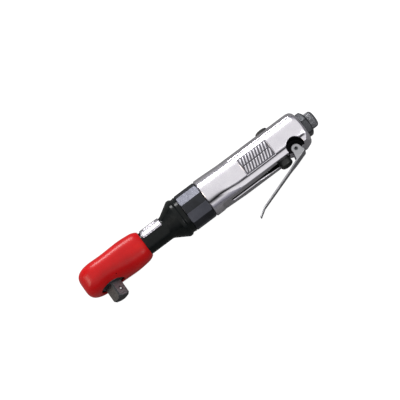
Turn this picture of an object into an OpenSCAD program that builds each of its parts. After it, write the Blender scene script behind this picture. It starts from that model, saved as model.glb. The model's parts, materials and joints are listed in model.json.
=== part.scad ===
// Air ratchet, 1/2 inch square drive.
// X runs along the tool towards the air inlet, the square drive and the lever point to -Y,
// and Z is up with the tool lying on its side. The origin is the centre of the square drive's
// shoulder. Everything is drawn about the tool's centreline and then moved by place().

/* [Square drive] */
// Across the flats of the square drive
square_af = 12.7; // [9.5:0.05:12.7]
// Radius over the rounded corners of the square
square_corner_r = 8.2; // [6.5:0.1:8.6]
// Length of the square from its shoulder
square_len = 15.5; // [12:0.5:20]
// Distance from the tool's centreline to the shoulder
shoulder_d = 12.3; // [11.5:0.1:13.5]
// Radius of the anvil's round collar
collar_r = 10.3; // [9.6:0.1:10.4]
// Radius of the ball that holds a socket
socket_ball_r = 1.6; // [1.2:0.1:2]
// How far that ball stands out of its face
socket_ball_out = 0.75; // [0.4:0.05:0.9]

/* [Ratchet head] */
// Outer radius of the head under its boot
head_r = 20.6; // [20.4:0.1:23]
// Centreline to the head's face on the drive side
head_front = 11.2; // [10.8:0.1:13]
// Centreline to the head's back face
head_back = 11.6; // [11.2:0.1:14]
// Radius of the cavity that holds the yoke
cavity_r = 17.8; // [17.8:0.1:18.4]
// Half the thickness of the yoke
yoke_half = 5.4; // [4.8:0.1:5.6]
// Outer radius of the yoke
yoke_r = 17.4; // [16.8:0.1:17.5]
// Number of ratchet teeth inside the yoke
yoke_teeth = 36; // [36:12:60]
// Radius at the tips of those teeth
yoke_tip_r = 11.35; // [11.3:0.05:11.5]
// Depth of the ratchet teeth
yoke_tooth_h = 0.95; // [0.8:0.05:1]
// Swing of the yoke to each side, degrees
yoke_swing = 5.5; // [4.5:0.1:5.8]
// Rock of the pawl to each side of its middle, degrees
pawl_rock = 10; // [8:0.5:11]
// Turn of the reverse knob to each side of its middle, degrees
knob_turn = 30; // [25:1:35]
// Radius of the reverse knob
knob_r = 10.5; // [9:0.5:12]
// Centreline to the outer face of the reverse knob
knob_back = 15.4; // [14.8:0.1:18]

/* [Boot] */
// Wall of the boot round the nose
boot_wall = 3.1; // [2:0.1:4]
// Wall of the boot over the head's drive side
boot_front_wall = 3; // [2:0.1:4]
// Wall of the boot over the head's back
boot_back_wall = 3.3; // [2:0.1:4]
// Radius of the opening round the drive
boot_open_r = 12.1; // [11.5:0.1:13]
// Where the boot ends on the neck
boot_end = 45.3; // [44:0.1:52]

/* [Neck and gear case] */
// Radius of the neck
neck_r = 11.4; // [10.5:0.1:12.5]
// Where the neck ends and the cone begins
neck_end = 69.5; // [66:0.5:72]
// Where the cone reaches its full radius
cone_end = 82.4; // [80:0.2:84]
// Largest radius of the gear case
case_r = 19.5; // [19:0.1:21]
// Face that the clamp nut butts against
case_face = 90.8; // [89:0.2:91]
// Length of the thin data plate on the neck
plate_len = 21; // [15:1:22]

/* [Crank] */
// Radius of the crankshaft
shaft_r = 5.5; // [5:0.1:5.8]
// Throw of the crank pin
crank_throw = 1.77; // [1.5:0.01:1.9]
// Radius of the crank pin
crank_pin_r = 2.5; // [2.2:0.1:2.8]
// Radius of the drive bush on the crank pin
drive_bush_r = 3.6; // [3.4:0.1:3.6]
// Outer radius of the two crankshaft bushes
crank_bush_r = 8; // [7.5:0.1:8.4]
// Length of each crankshaft bush
crank_bush_len = 14; // [10:1:14]

/* [Planetary gear] */
// Gear module
gear_module = 0.6; // [0.55:0.01:0.6]
// Teeth on the rotor's pinion
sun_teeth = 12; // [12:12]
// Teeth on each planet gear
planet_teeth = 15; // [15:15]
// Width of the planet gears
planet_w = 11; // [9:0.5:11]
// Backlash at the pitch circle
backlash = 0.16; // [0.12:0.01:0.2]
// Radius of the planet pins
planet_pin_r = 1.6; // [1.4:0.1:1.8]

/* [Clamp nut] */
// Across the flats of the clamp nut
nut_af = 36.3; // [35:0.1:38]
// Radius over the nut's turned corners
nut_r = 19.5; // [19:0.1:21]
// Where the clamp nut ends
nut_end = 113.4; // [112:0.2:114]

/* [Motor] */
// Radius of the motor's bore in the housing
motor_bore_r = 14; // [13.6:0.1:14.2]
// Length of the motor cylinder
cylinder_len = 37; // [30:1:38]
// Bore radius of the motor cylinder
cylinder_bore_r = 11; // [10.8:0.1:11.2]
// How far the cylinder's bore is off centre
cylinder_offset = 1.2; // [1:0.1:1.3]
// Radius of the rotor
rotor_r = 9.6; // [9.4:0.1:9.7]
// Number of vanes
vane_count = 5; // [4:6]
// Thickness of a vane
vane_t = 1.5; // [1.2:0.1:1.8]
// Thickness of each end plate
end_plate_t = 9; // [8:0.5:10]

/* [Motor housing] */
// Radius of the barrel
barrel_r = 18.3; // [18:0.1:20]
// Rear end of the housing
housing_end = 224.6; // [222:0.2:236]
// Half the width between the side walls of the lever rails
rail_half = 14.4; // [13:0.2:16]
// Centreline to the bottom of the lever rails
rail_d = 16.6; // [16.3:0.1:18]
// Half the width of the lever channel at its rear
channel_half = 6.9; // [6.7:0.1:8]
// Half the width of the lever channel at its front
channel_front_half = 3.8; // [3:0.1:5]

/* [Throttle] */
// Place of the lever's pivot along the tool
pivot_x = 206.8; // [204:0.2:210]
// Centreline to the lever's pivot
pivot_d = 15.3; // [14.8:0.1:16]
// Radius of the lever's pin
pivot_pin_r = 1.6; // [1.3:0.1:2]
// Length of the lever from its pivot to its tip
lever_len = 70; // [55:1:72]
// Sheet thickness of the lever
lever_t = 1.3; // [1:0.1:1.6]
// Width of the lever at its tip
lever_tip_w = 6.4; // [5:0.2:10]
// Opening angle of the free lever, degrees
lever_open = 18.3; // [14:0.1:19]
// Place of the throttle valve along the tool
valve_x = 192; // [190:0.2:193]
// Radius of the throttle button
button_r = 6.2; // [5.5:0.1:6.3]
// Centreline to the end of the free button
button_d = 23.4; // [22.5:0.1:23.6]
// Travel of the throttle button
button_travel = 3.2; // [2.5:0.1:3.4]

/* [Air inlet] */
// Across the flats of the inlet bushing
inlet_af = 22.4; // [20:0.2:24]
// Length of the inlet bushing's hexagon
inlet_hex_len = 6.6; // [5:0.2:9]
// Radius of the bushing's serrated end
inlet_end_r = 8.1; // [7.6:0.1:9]
// Length of the serrated end
inlet_end_len = 7.4; // [5:0.2:10]
// Wall radius of the air inlet's thread, 1/4 inch pipe
inlet_bore_r = 5.72; // [5:0.01:6]
// Depth of that thread
inlet_thread_len = 16; // [12:0.5:20]

/* [Fits] */
// Radial clearance of a running fit
run = 0.05; // [0.03:0.01:0.08]
// End clearance beside a moving part
side_gap = 0.2; // [0.1:0.05:0.3]
// Clearance between parts that only locate each other
seat = 0.05; // [0.02:0.01:0.1]

/* [Hidden] */
$fn = 64;
eps = 0.01;
far = 60;

// Head, from the drive side to the back
cavity_back = yoke_half + 1.6;
tail_x0 = 14;
tail_x1 = 22;
tail_slot_half = drive_bush_r + 2 * crank_throw + 0.16;
tail_half = tail_slot_half + 3.2;
pocket_end = tail_x1 + 1.8;
pocket_half = tail_half + tail_x1 * sin(yoke_swing) + 0.3;
anvil_r = yoke_tip_r - 0.3;
pawl_x = 7.6;
pawl_pin_r = 1.5;
pawl_tip_angle = 45;
pawl_half = 4;
pawl_pocket_half = pawl_half + side_gap;
pawl_pocket_z = 9.4;
pawl_back_r = 5.6;
boss_r = 7;
stem_r = 4;
stem_front = 3;
selector_ball_r = 1.2;
selector_ball_at = pawl_back_r - selector_ball_r - 0.1;
washer_y = yoke_half + side_gap;
washer_t = 1.6;
circlip_y = washer_y + washer_t + 0.05;
circlip_t = 1.4;
circlip_groove_r = cavity_r + 0.9;
ball_d = shoulder_d + 8.3;
ball_seat = square_af / 2 - socket_ball_r + socket_ball_out;

// Crank and bushes
crank_pin_x0 = tail_x0 + 1;
drive_bush_x0 = crank_pin_x0 + 0.3;
drive_bush_x1 = tail_x1 + 0.6;
shaft_x0 = pocket_end + 0.3;
neck_bore_r = shaft_r + 0.6;
front_bush_x0 = pocket_end + 3.2;
carrier_x0 = 95.5;
carrier_x1 = 102.2;
rear_bush_x1 = carrier_x0 - 3;
rear_bush_x0 = rear_bush_x1 - crank_bush_len;
bell_x0 = carrier_x0 - 1;
spigot_end = carrier_x1 + 0.3;

// Planetary gear
ring_teeth = sun_teeth + 2 * planet_teeth;
pressure = 25;
addendum = 0.65 * gear_module;
dedendum = gear_module;
sun_r = gear_module * sun_teeth / 2;
planet_r = gear_module * planet_teeth / 2;
ring_r = gear_module * ring_teeth / 2;
planet_at = sun_r + planet_r;
planet_x0 = spigot_end + 0.4;
planet_x1 = planet_x0 + planet_w;
carrier_r = planet_at + planet_r + addendum + 0.15;
bell_r = carrier_r + 0.4;
ring_x1 = planet_x1 + 0.7;
ring_out_r = 15.15;
ring_bore_r = ring_out_r + seat;
spigot_r = 15.9;

// Clamp nut
ring_groove_x0 = case_face + 5.4;
clamp_ring_t = 1.2;
clamp_ring_r = 16.8;
clamp_groove_r = spigot_r - 0.8;
motor_spigot_r = clamp_ring_r + 0.1;
motor_spigot_x0 = ring_groove_x0 + 6.6;

// Motor
motor_part_r = motor_bore_r - seat;
front_plate_x0 = ring_x1;
cylinder_x0 = front_plate_x0 + end_plate_t;
cylinder_x1 = cylinder_x0 + cylinder_len;
rear_plate_x1 = cylinder_x1 + end_plate_t;
bearing_r = 9.5;
bearing_w = 6;
bearing_ball_r = 1.5;
front_shaft_r = 4;
rear_shaft_r = 3.5;
rotor_x0 = cylinder_x0 + side_gap;
rotor_x1 = cylinder_x1 - side_gap;
pinion_x1 = planet_x1 + 0.2;
vane_h = 5;
vane_out_r = rotor_r - 0.1;
dowel_r = 1;
dowel_at = 12.2;
dowel_angle = 30;
air_hole_r = 1.1;
air_hole_at = 11.8;

// Housing, rail outline and lever channel
collar_end = 123;
flare_end = 148;
rail_limit_r = 21.4;
rail_flare = 1.9;
channel_x0 = 132;
channel_open_x = 181;
channel_d = motor_bore_r + 1;
deep_x0 = rear_plate_x1 + 5;
deep_d = 10;
rear_round = 5;
plenum_len = 3;
ear_gap = 0.3;
tongue_half = 5.9;
ear_r = 4.6;
recess_r = 8.6;
lever_drop = 6.1;
badge_x0 = 155.5;
badge_x1 = 188.5;
badge_t = 0.5;

// Throttle valve, heights measured along the valve's bore
valve_bore_r = 5.6;
valve_floor = 1;
seat_y0 = -2;
gallery_y0 = -7;
gallery_r = 3.6;
stem_pin_r = 1.5;
valve_ball_r = 4;
seat_hole_r = 3;
ball_y = valve_floor + sqrt(valve_ball_r * valve_ball_r - seat_hole_r * seat_hole_r);
cap_y0 = 13.6;
cap_r = 5.4;
cap_y1 = barrel_r + 1.6;
button_top = deep_d - 0.2;
button_gap = 0.4;
inlet_shank_r = 8.2;
inlet_shank_len = 14;
inlet_x0 = housing_end - inlet_shank_len - 0.4;
inlet_neck_r = 4.6;
hex_x1 = housing_end + inlet_hex_len;
end_x = hex_x1 + inlet_end_len;
inlet_thread_x0 = end_x - inlet_thread_len;
screen_t = 0.6;
screen_r = inlet_bore_r + 0.4;
feed_y = 4.4;
feed_r = 3;

// Colours
black_steel = [0.07, 0.08, 0.07];
bright_steel = [0.72, 0.73, 0.75];
dark_steel = [0.3, 0.31, 0.33];
alloy = [0.86, 0.86, 0.88];
red_rubber = [0.8, 0.1, 0.09];
bronze = [0.72, 0.52, 0.28];
nut_finish = [0.25, 0.26, 0.32];
black_plastic = [0.04, 0.04, 0.04];
seal_black = [0.1, 0.1, 0.1];

// Puts the origin at the shoulder of the square drive
module place() {
    translate([0, shoulder_d, 0]) children();
}

// A cylinder along X
module rod_x(x0, x1, r) {
    translate([x0, 0, 0]) rotate([0, 90, 0]) cylinder(h = x1 - x0, r = r);
}

// A cylinder along Y
module rod_y(y0, y1, r) {
    translate([0, y0, 0]) rotate([-90, 0, 0]) cylinder(h = y1 - y0, r = r);
}

// A cylinder along Z, centred on the middle plane
module rod_z(half, r) {
    translate([0, 0, -half]) cylinder(h = 2 * half, r = r);
}

// A turned shape about X from points [radius, x]
module turned_x(points) {
    rotate([0, 90, 0]) rotate_extrude() polygon(points);
}

// A turned shape about Y from points [radius, y]
module turned_y(points) {
    rotate([-90, 0, 0]) rotate_extrude() polygon(points);
}

// A flat shape in X and Z, thick from y0 to y1
module plan_y(y0, y1) {
    translate([0, y1, 0]) rotate([90, 0, 0]) linear_extrude(height = y1 - y0) children();
}

// A flat shape in Y and Z, long from x0 to x1
module section_x(x0, x1) {
    translate([x0, 0, 0]) rotate([90, 0, 90]) linear_extrude(height = x1 - x0) children();
}

// A box between two corners
module box(low, high) {
    translate(low) cube(high - low);
}

// A flat ring
module ring_2d(out_r, in_r) {
    difference() {
        circle(r = out_r);
        circle(r = in_r);
    }
}

// Involute of an angle, in degrees
function involute(angle) = tan(angle) * 180 / PI - angle;

// Half the angle of a gear tooth at a radius, made narrower or wider by half_play
function tooth_half(teeth, pitch_r, radius, half_play) =
    let (base_r = pitch_r * cos(pressure))
    let (at = max(radius, base_r))
    90 / teeth + involute(pressure) - involute(acos(base_r / at)) - half_play / pitch_r * 180 / PI;

// Outline of a gear whose teeth are cut to involutes, tooth 0 centred on the first axis
function gear_points(teeth, root_r, tip_r, half_play) =
    let (pitch_r = gear_module * teeth / 2)
    let (steps = 5)
    let (radii = [for (i = [0:steps]) root_r + (tip_r - root_r) * i / steps])
    [for (t = [0:teeth - 1])
        for (side = [-1, 1])
            for (i = [0:steps])
                let (radius = radii[side < 0 ? i : steps - i])
                let (angle = 360 * t / teeth + side * tooth_half(teeth, pitch_r, radius, half_play))
                radius * [cos(angle), sin(angle)]];

// Outline of ratchet teeth that point inwards, a tooth centred on the first axis
function ratchet_points(teeth, tip_r, root_r) =
    let (pitch = 360 / teeth)
    let (land = 0.12 * pitch)
    [for (t = [0:teeth - 1])
        for (corner = [[-land / 2, tip_r], [land / 2, tip_r],
                       [pitch / 2 - land / 2, root_r], [pitch / 2 + land / 2, root_r]])
            corner[1] * [cos(t * pitch + corner[0]), sin(t * pitch + corner[0])]];

// A round-wire compression spring along Z from 0 to length, with its ends laid flat
module coil_spring(mean_r, wire_r, length, turns) {
    sides = 8;
    per_turn = 14;
    rings = turns * per_turn;
    rise = length - 2 * wire_r;
    points = [for (k = [0:rings])
        let (along = k / rings)
        let (spin = 360 * turns * along)
        for (s = [0:sides - 1])
            let (a = 360 * s / sides)
            let (radius = mean_r + wire_r * cos(a))
            [radius * cos(spin), radius * sin(spin), wire_r + rise * along + wire_r * sin(a)]];
    walls = [for (k = [0:rings - 1])
        for (s = [0:sides - 1])
            let (next = (s + 1) % sides)
            [k * sides + s, (k + 1) * sides + s, (k + 1) * sides + next, k * sides + next]];
    start = [for (s = [0:sides - 1]) s];
    finish = [for (s = [sides - 1:-1:0]) rings * sides + s];
    polyhedron(points = points, faces = concat(walls, [start], [finish]), convexity = 10);
}

// Outer shape of the head and its taper, cut flat on both sides
module head_form() {
    intersection() {
        union() {
            rod_y(-head_front, head_back, head_r);
            turned_x([[0, 0], [19.4, 0], [19.4, 9], [neck_r, 43], [0, 43]]);
        }
        box([-far, -head_front, -far], [far, head_back, far]);
    }
}

// Forged steel case: head, neck, cone and spigot
module ratchet_housing() {
    place() color(black_steel) difference() {
        union() {
            head_form();
            turned_x([[0, 30], [neck_r, 30], [neck_r, neck_end], [case_r - 0.6, cone_end - 0.5],
                [case_r, cone_end + 0.5], [case_r, 85.5], [case_r - 1.4, 87.2], [case_r - 1.4, 88.2],
                [case_r - 0.9, case_face], [spigot_r, case_face], [spigot_r, spigot_end],
                [0, spigot_end]]);
        }
        rod_y(-far, cavity_back, cavity_r);
        rod_y(0, far, boss_r + run);
        rod_y(-circlip_y - circlip_t - seat, -circlip_y + seat, circlip_groove_r);
        box([8, -cavity_back + 0.6, -pocket_half], [pocket_end, cavity_back - 0.6, pocket_half]);
        rod_x(pocket_end - eps, bell_x0 + eps, neck_bore_r);
        rod_x(front_bush_x0, front_bush_x0 + crank_bush_len, crank_bush_r);
        rod_x(rear_bush_x0, bell_x0 + eps, crank_bush_r);
        rod_x(bell_x0, far * 2, bell_r);
        section_x(ring_groove_x0, ring_groove_x0 + clamp_ring_t + 0.1) ring_2d(far, clamp_groove_r);
    }
}

// Moulded boot that covers the head
module head_boot() {
    edge = 3.2;
    nose_r = head_r + boot_wall;
    front = head_front + boot_front_wall;
    back = head_back + boot_back_wall;
    rear_r = neck_r + 3.4;
    place() color(red_rubber) difference() {
        hull() {
            turned_y([[0, -front], [nose_r - edge - 4, -front], [nose_r - edge + 1, -front + 1],
                [nose_r, -front + edge + 2], [nose_r, back - edge - 2],
                [nose_r - edge + 1, back - 1], [nose_r - edge - 4, back], [0, back]], $fn = 48);
            rotate([0, 90, 0]) translate([0, 0, boot_end - 8]) rotate_extrude($fn = 48)
                polygon([[0, 0], [rear_r - 0.2, 0], [rear_r, 3], [rear_r - 0.4, 5.5],
                    [rear_r - 1.6, 7.4], [rear_r - 2.6, 8], [0, 8]]);
        }
        // the head itself
        rod_y(-head_front - seat, head_back + seat, head_r + seat);
        intersection() {
            turned_x([[0, 0], [19.4 + seat, 0], [19.4 + seat, 9], [neck_r + seat, 43],
                [neck_r + seat, 60], [0, 60]]);
            box([-far, -head_front - seat, -far], [far * 2, head_back + seat, far]);
        }
        rod_x(30, far, neck_r + seat);
        rod_y(-far, 0, boot_open_r);
        rod_y(0, far, knob_r + 0.4);
    }
}

// Thin metal plate bent round the neck
module data_plate() {
    place() color(alloy) rotate([0, 90, 0]) translate([0, 0, 47])
        rotate([0, 0, 96]) rotate_extrude(angle = 76) translate([neck_r, 0])
            square([1.1, plate_len]);
}

// Swinging yoke with the ratchet teeth inside
module drive_yoke() {
    place() color(dark_steel) difference() {
        plan_y(-yoke_half, yoke_half) difference() {
            union() {
                circle(r = yoke_r);
                translate([0, -tail_half]) square([tail_x1, 2 * tail_half]);
            }
            polygon(ratchet_points(yoke_teeth, yoke_tip_r, yoke_tip_r + yoke_tooth_h));
            translate([tail_x0, -tail_slot_half]) square([far, 2 * tail_slot_half]);
        }
    }
}

// Anvil: toothless disc that carries the pawl, collar and square drive
module drive_anvil() {
    place() color(black_steel) difference() {
        union() {
            rod_y(-yoke_half, yoke_half, anvil_r);
            rod_y(-shoulder_d, -yoke_half, collar_r);
            rod_y(yoke_half, head_back - 0.3, boss_r);
            intersection() {
                plan_y(-shoulder_d - square_len, -shoulder_d + eps) rotate(45)
                    square(square_af, center = true);
                turned_y([[0, -shoulder_d - square_len],
                    [square_corner_r - 1.5, -shoulder_d - square_len],
                    [square_corner_r, -shoulder_d - square_len + 1.5],
                    [square_corner_r, -shoulder_d + eps], [0, -shoulder_d + eps]]);
            }
        }
        // bore for the reverse knob's stem
        rod_y(-stem_front - 0.3, far, stem_r + run);
        // pocket for the pawl
        plan_y(-pawl_pocket_half, pawl_pocket_half) translate([-far, -pawl_pocket_z])
            square([far - 2.3, 2 * pawl_pocket_z]);
        translate([-pawl_x, 0, 0]) rod_y(-yoke_half + 0.4, yoke_half + 1, pawl_pin_r);
        // cross hole for the socket ball
        translate([0, -ball_d, 0]) rotate([0, 45, 0]) translate([0, 0, -1.2])
            cylinder(h = far, r = socket_ball_r + run);
    }
}

// Flat shape of one pawl tip in its tooth space, drawn where it is engaged
module pawl_tip() {
    rotate(180 - pawl_tip_angle) polygon([[9.2, -1.1], [10.5, -0.8], [11.35, -0.5], [12, -0.12],
        [12, 0.12], [11.35, 0.5], [10.5, 0.8], [9.2, 1.1]]);
}

// Turns a flat shape about the pawl's pin
module about_pawl(angle) {
    translate([-pawl_x, 0]) rotate(angle) translate([pawl_x, 0]) children();
}

// Double-ended pawl, drawn with its upper tip in the teeth
module ratchet_pawl() {
    place() color(bright_steel) difference() {
        union() {
            plan_y(-pawl_half, pawl_half) about_pawl(pawl_rock) intersection() {
                circle(r = 10.15);
                translate([-far, -8.1]) square([far - 4.4, 16.2]);
            }
            plan_y(-pawl_half, pawl_half) pawl_tip();
            plan_y(-pawl_half, pawl_half) about_pawl(2 * pawl_rock) mirror([0, 1]) pawl_tip();
        }
        plan_y(-far, far) about_pawl(pawl_rock) circle(r = pawl_back_r);
        translate([-pawl_x, 0, 0]) rod_y(-far, far, pawl_pin_r + run);
    }
}

// Pin that the pawl rocks on
module pawl_pin() {
    place() color(bright_steel) translate([-pawl_x, 0, 0])
        rod_y(-yoke_half + 0.4, yoke_half - 0.1, pawl_pin_r);
}

// Turns a piece about the drive axis to the reverse knob's place
module at_knob() {
    rotate([0, -(180 - knob_turn), 0]) children();
}

// Reverse knob with its stem down the anvil
module reverse_knob() {
    face = head_back + 0.3;
    place() color(black_plastic) difference() {
        union() {
            rod_y(-stem_front, face, stem_r);
            turned_y([[0, face], [knob_r - 0.5, face], [knob_r, face + 0.5],
                [knob_r, knob_back - 2.4], [knob_r - 0.8, knob_back - 1.6], [0, knob_back - 1.6]]);
            at_knob() plan_y(knob_back - 1.7, knob_back) intersection() {
                circle(r = knob_r - 1);
                square([far, 5], center = true);
            }
        }
        at_knob() rod_x(1, far, selector_ball_r + run);
        for (k = [0:11]) rotate([0, 30 * k, 0]) translate([knob_r + 0.6, 0, 0])
            rod_y(face - 1, knob_back - 1, 1.1);
    }
}

// Ball that pushes the pawl over
module selector_ball() {
    place() color(bright_steel) at_knob() translate([selector_ball_at, 0, 0])
        sphere(r = selector_ball_r);
}

// Spring behind that ball
module selector_spring() {
    place() color(bright_steel) at_knob() translate([1.05, 0, 0]) rotate([0, 90, 0])
        coil_spring(0.85, 0.18, selector_ball_at - selector_ball_r - 1.1, 3);
}

// Washer that the yoke and the anvil run against
module thrust_washer() {
    place() color(bright_steel) plan_y(-washer_y - washer_t, -washer_y)
        ring_2d(cavity_r - seat, collar_r + run);
}

// Internal circlip that keeps the head together
module head_circlip() {
    place() color(dark_steel) plan_y(-circlip_y - circlip_t, -circlip_y) difference() {
        union() {
            ring_2d(circlip_groove_r - seat, circlip_groove_r - 3);
            for (side = [-1, 1]) rotate(180 + side * 16) translate([circlip_groove_r - 4.2, 0])
                circle(r = 2.1);
        }
        rotate(180) polygon([[0, 0], [far, -far * tan(9)], [far, far * tan(9)]]);
        for (side = [-1, 1]) rotate(180 + side * 16) translate([circlip_groove_r - 4.2, 0])
            circle(r = 1);
    }
}

// Turns a piece so that its Z axis runs out of the socket ball's hole
module at_socket_ball() {
    translate([0, -ball_d, 0]) rotate([0, 45, 0]) children();
}

// Ball that holds a socket on the square
module socket_ball() {
    place() color(bright_steel) at_socket_ball() translate([0, 0, ball_seat])
        sphere(r = socket_ball_r);
}

// Spring behind the socket ball
module socket_spring() {
    place() color(bright_steel) at_socket_ball() translate([0, 0, -1.15])
        coil_spring(1.15, 0.25, ball_seat - socket_ball_r + 1.1, 4.5);
}

// Bush on the crank pin
module drive_bush() {
    place() color(bronze) translate([0, crank_throw, 0])
        section_x(drive_bush_x0, drive_bush_x1) ring_2d(drive_bush_r, crank_pin_r + run);
}

// Crankshaft with the planet carrier at its rear end
module crankshaft() {
    place() color(dark_steel) difference() {
        union() {
            translate([0, crank_throw, 0]) rod_x(crank_pin_x0, shaft_x0 + 1, crank_pin_r);
            turned_x([[0, shaft_x0], [shaft_r - 0.5, shaft_x0], [shaft_r, shaft_x0 + 0.5],
                [shaft_r, rear_bush_x1 + side_gap], [crank_bush_r - 0.4, rear_bush_x1 + side_gap],
                [crank_bush_r - 0.4, carrier_x0], [carrier_r, carrier_x0],
                [carrier_r, carrier_x1], [0, carrier_x1]]);
        }
        for (k = [0:2]) at_planet(k) rod_x(carrier_x0 + 0.5, carrier_x1 + 1, planet_pin_r);
    }
}

// One of the two bushes that the crankshaft turns in
module crank_bush(x0) {
    place() color(bronze) section_x(x0, x0 + crank_bush_len)
        ring_2d(crank_bush_r, shaft_r + run);
}
module front_crank_bush() { crank_bush(front_bush_x0); }
module rear_crank_bush() { crank_bush(rear_bush_x0); }

// Moves a piece to planet k, the first above the centreline
module at_planet(k) {
    rotate([90 + 120 * k, 0, 0]) translate([0, planet_at, 0]) children();
}

// Three pins pressed into the carrier
module planet_pins() {
    place() color(bright_steel) for (k = [0:2]) at_planet(k)
        rod_x(carrier_x0 + 0.5, planet_x1 + 0.3, planet_pin_r);
}

// One planet gear, its tooth 0 pointing away from the centreline
module planet_gear(k) {
    place() color(bright_steel) at_planet(k) section_x(planet_x0, planet_x1) difference() {
        polygon(gear_points(planet_teeth, planet_r - dedendum, planet_r + addendum, backlash / 4));
        circle(r = planet_pin_r + run);
    }
}
module planet_gear_1() { planet_gear(0); }
module planet_gear_2() { planet_gear(1); }
module planet_gear_3() { planet_gear(2); }

// Internal gear held between the gear case and the motor
module ring_gear() {
    place() color(dark_steel) section_x(spigot_end, ring_x1) difference() {
        circle(r = ring_out_r);
        rotate(90) polygon(gear_points(ring_teeth, ring_r - addendum, ring_r + dedendum,
            -backlash / 4));
    }
}

// Hexagonal nut that pulls the gear case onto the motor housing
module clamp_nut() {
    bevel = 1;
    place() color(nut_finish) difference() {
        intersection() {
            section_x(case_face, nut_end) rotate(-7) circle(r = nut_af / sqrt(3), $fn = 6);
            turned_x([[0, case_face], [nut_r - bevel, case_face], [nut_r, case_face + bevel],
                [nut_r, nut_end - bevel], [nut_r - bevel, nut_end], [0, nut_end]]);
        }
        rod_x(case_face - 1, nut_end + 1, spigot_r + 0.15);
        rod_x(ring_groove_x0 - seat, nut_end + 1, motor_spigot_r + seat);
    }
}

// Split ring in the spigot's groove that the nut pulls on
module clamp_ring() {
    place() color(bright_steel) section_x(ring_groove_x0, ring_groove_x0 + clamp_ring_t)
        difference() {
            ring_2d(clamp_ring_r, clamp_groove_r + seat);
            translate([0, -2]) square([far, 4]);
        }
}

// Places for the dowel that lines up the end plates and the cylinder
module at_dowel() {
    rotate([dowel_angle, 0, 0]) translate([0, dowel_at, 0]) children();
}

// End plate in front of the cylinder, with its bearing seat towards the gears
module front_end_plate() {
    place() color(dark_steel) difference() {
        rod_x(front_plate_x0, cylinder_x0, motor_part_r);
        rod_x(front_plate_x0 - 1, front_plate_x0 + bearing_w, bearing_r);
        rod_x(front_plate_x0, cylinder_x0 + 1, front_shaft_r + 0.5);
        at_dowel() rod_x(front_plate_x0 + 4, far * 3, dowel_r);
    }
}

// End plate behind the cylinder, with its bearing seat towards the inlet
module rear_end_plate() {
    place() color(dark_steel) difference() {
        rod_x(cylinder_x1, rear_plate_x1, motor_part_r);
        rod_x(rear_plate_x1 - bearing_w, rear_plate_x1 + 1, bearing_r);
        rod_x(cylinder_x1 - 1, rear_plate_x1, rear_shaft_r + 0.5);
        at_dowel() rod_x(cylinder_x1 - 1, cylinder_x1 + 5, dowel_r);
        for (a = [-75, -60, -45]) rotate([a, 0, 0]) translate([0, air_hole_at, 0])
            rod_x(cylinder_x1 - 1, rear_plate_x1 + 1, air_hole_r);
    }
}

// Radius of the circle on which a bearing's balls run
function race_r(shaft) = (shaft + bearing_r) / 2;

// Groove of a ball bearing
module race_groove(x_mid, shaft) {
    rotate([0, 90, 0]) translate([0, 0, x_mid]) rotate_extrude()
        translate([race_r(shaft), 0]) circle(r = bearing_ball_r + 0.04);
}

// Outer ring of a ball bearing
module bearing_outer(x0, shaft) {
    place() color(bright_steel) difference() {
        section_x(x0, x0 + bearing_w) ring_2d(bearing_r, race_r(shaft) + 0.8);
        race_groove(x0 + bearing_w / 2, shaft);
    }
}

// Inner ring of a ball bearing
module bearing_inner(x0, shaft) {
    place() color(bright_steel) difference() {
        section_x(x0, x0 + bearing_w) ring_2d(race_r(shaft) - 0.8, shaft);
        race_groove(x0 + bearing_w / 2, shaft);
    }
}

// Balls of a bearing and the cage that spaces them
module bearing_balls(x0, shaft) {
    balls = 7;
    place() color(bright_steel) translate([x0 + bearing_w / 2, 0, 0]) {
        difference() {
            section_x(-2.2, 2.2) ring_2d(race_r(shaft) + 0.5, race_r(shaft) - 0.5);
            for (k = [0:balls - 1]) rotate([360 * k / balls, 0, 0])
                translate([0, race_r(shaft), 0]) sphere(r = bearing_ball_r + 0.06);
        }
        for (k = [0:balls - 1]) rotate([360 * k / balls, 0, 0])
            translate([0, race_r(shaft), 0]) sphere(r = bearing_ball_r);
    }
}
module front_bearing_outer() { bearing_outer(front_plate_x0, front_shaft_r); }
module front_bearing_inner() { bearing_inner(front_plate_x0, front_shaft_r); }
module front_bearing_balls() { bearing_balls(front_plate_x0, front_shaft_r); }
module rear_bearing_outer() { bearing_outer(rear_plate_x1 - bearing_w, rear_shaft_r); }
module rear_bearing_inner() { bearing_inner(rear_plate_x1 - bearing_w, rear_shaft_r); }
module rear_bearing_balls() { bearing_balls(rear_plate_x1 - bearing_w, rear_shaft_r); }

// Motor cylinder with its bore off centre towards the exhaust
module motor_cylinder() {
    place() color(alloy) difference() {
        rod_x(cylinder_x0, cylinder_x1, motor_part_r);
        translate([0, -cylinder_offset, 0]) rod_x(cylinder_x0 - 1, cylinder_x1 + 1, cylinder_bore_r);
        at_dowel() rod_x(cylinder_x0 - 1, cylinder_x1 + 1, dowel_r);
        for (k = [0:3]) translate([cylinder_x0 + 11 + 5 * k, 0, 0]) rod_y(-far, 0, 1.6);
    }
}

// Rotor with its vane slots, and the pinion cut on its front shaft
module rotor() {
    slot_floor = vane_out_r - vane_h - 0.2;
    place() color(bright_steel) {
        difference() {
            rod_x(rotor_x0, rotor_x1, rotor_r);
            for (k = [0:vane_count - 1]) rotate([360 * k / vane_count + 36, 0, 0])
                box([rotor_x0 - 1, slot_floor, -vane_t / 2 - 0.04],
                    [rotor_x1 + 1, far, vane_t / 2 + 0.04]);
        }
        rod_x(pinion_x1, rotor_x0 + eps, front_shaft_r);
        rod_x(rotor_x1 - eps, rear_plate_x1 - 0.3, rear_shaft_r);
        section_x(planet_x0, pinion_x1) rotate(90)
            polygon(gear_points(sun_teeth, sun_r - dedendum, sun_r + addendum, backlash / 4));
    }
}

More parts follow.
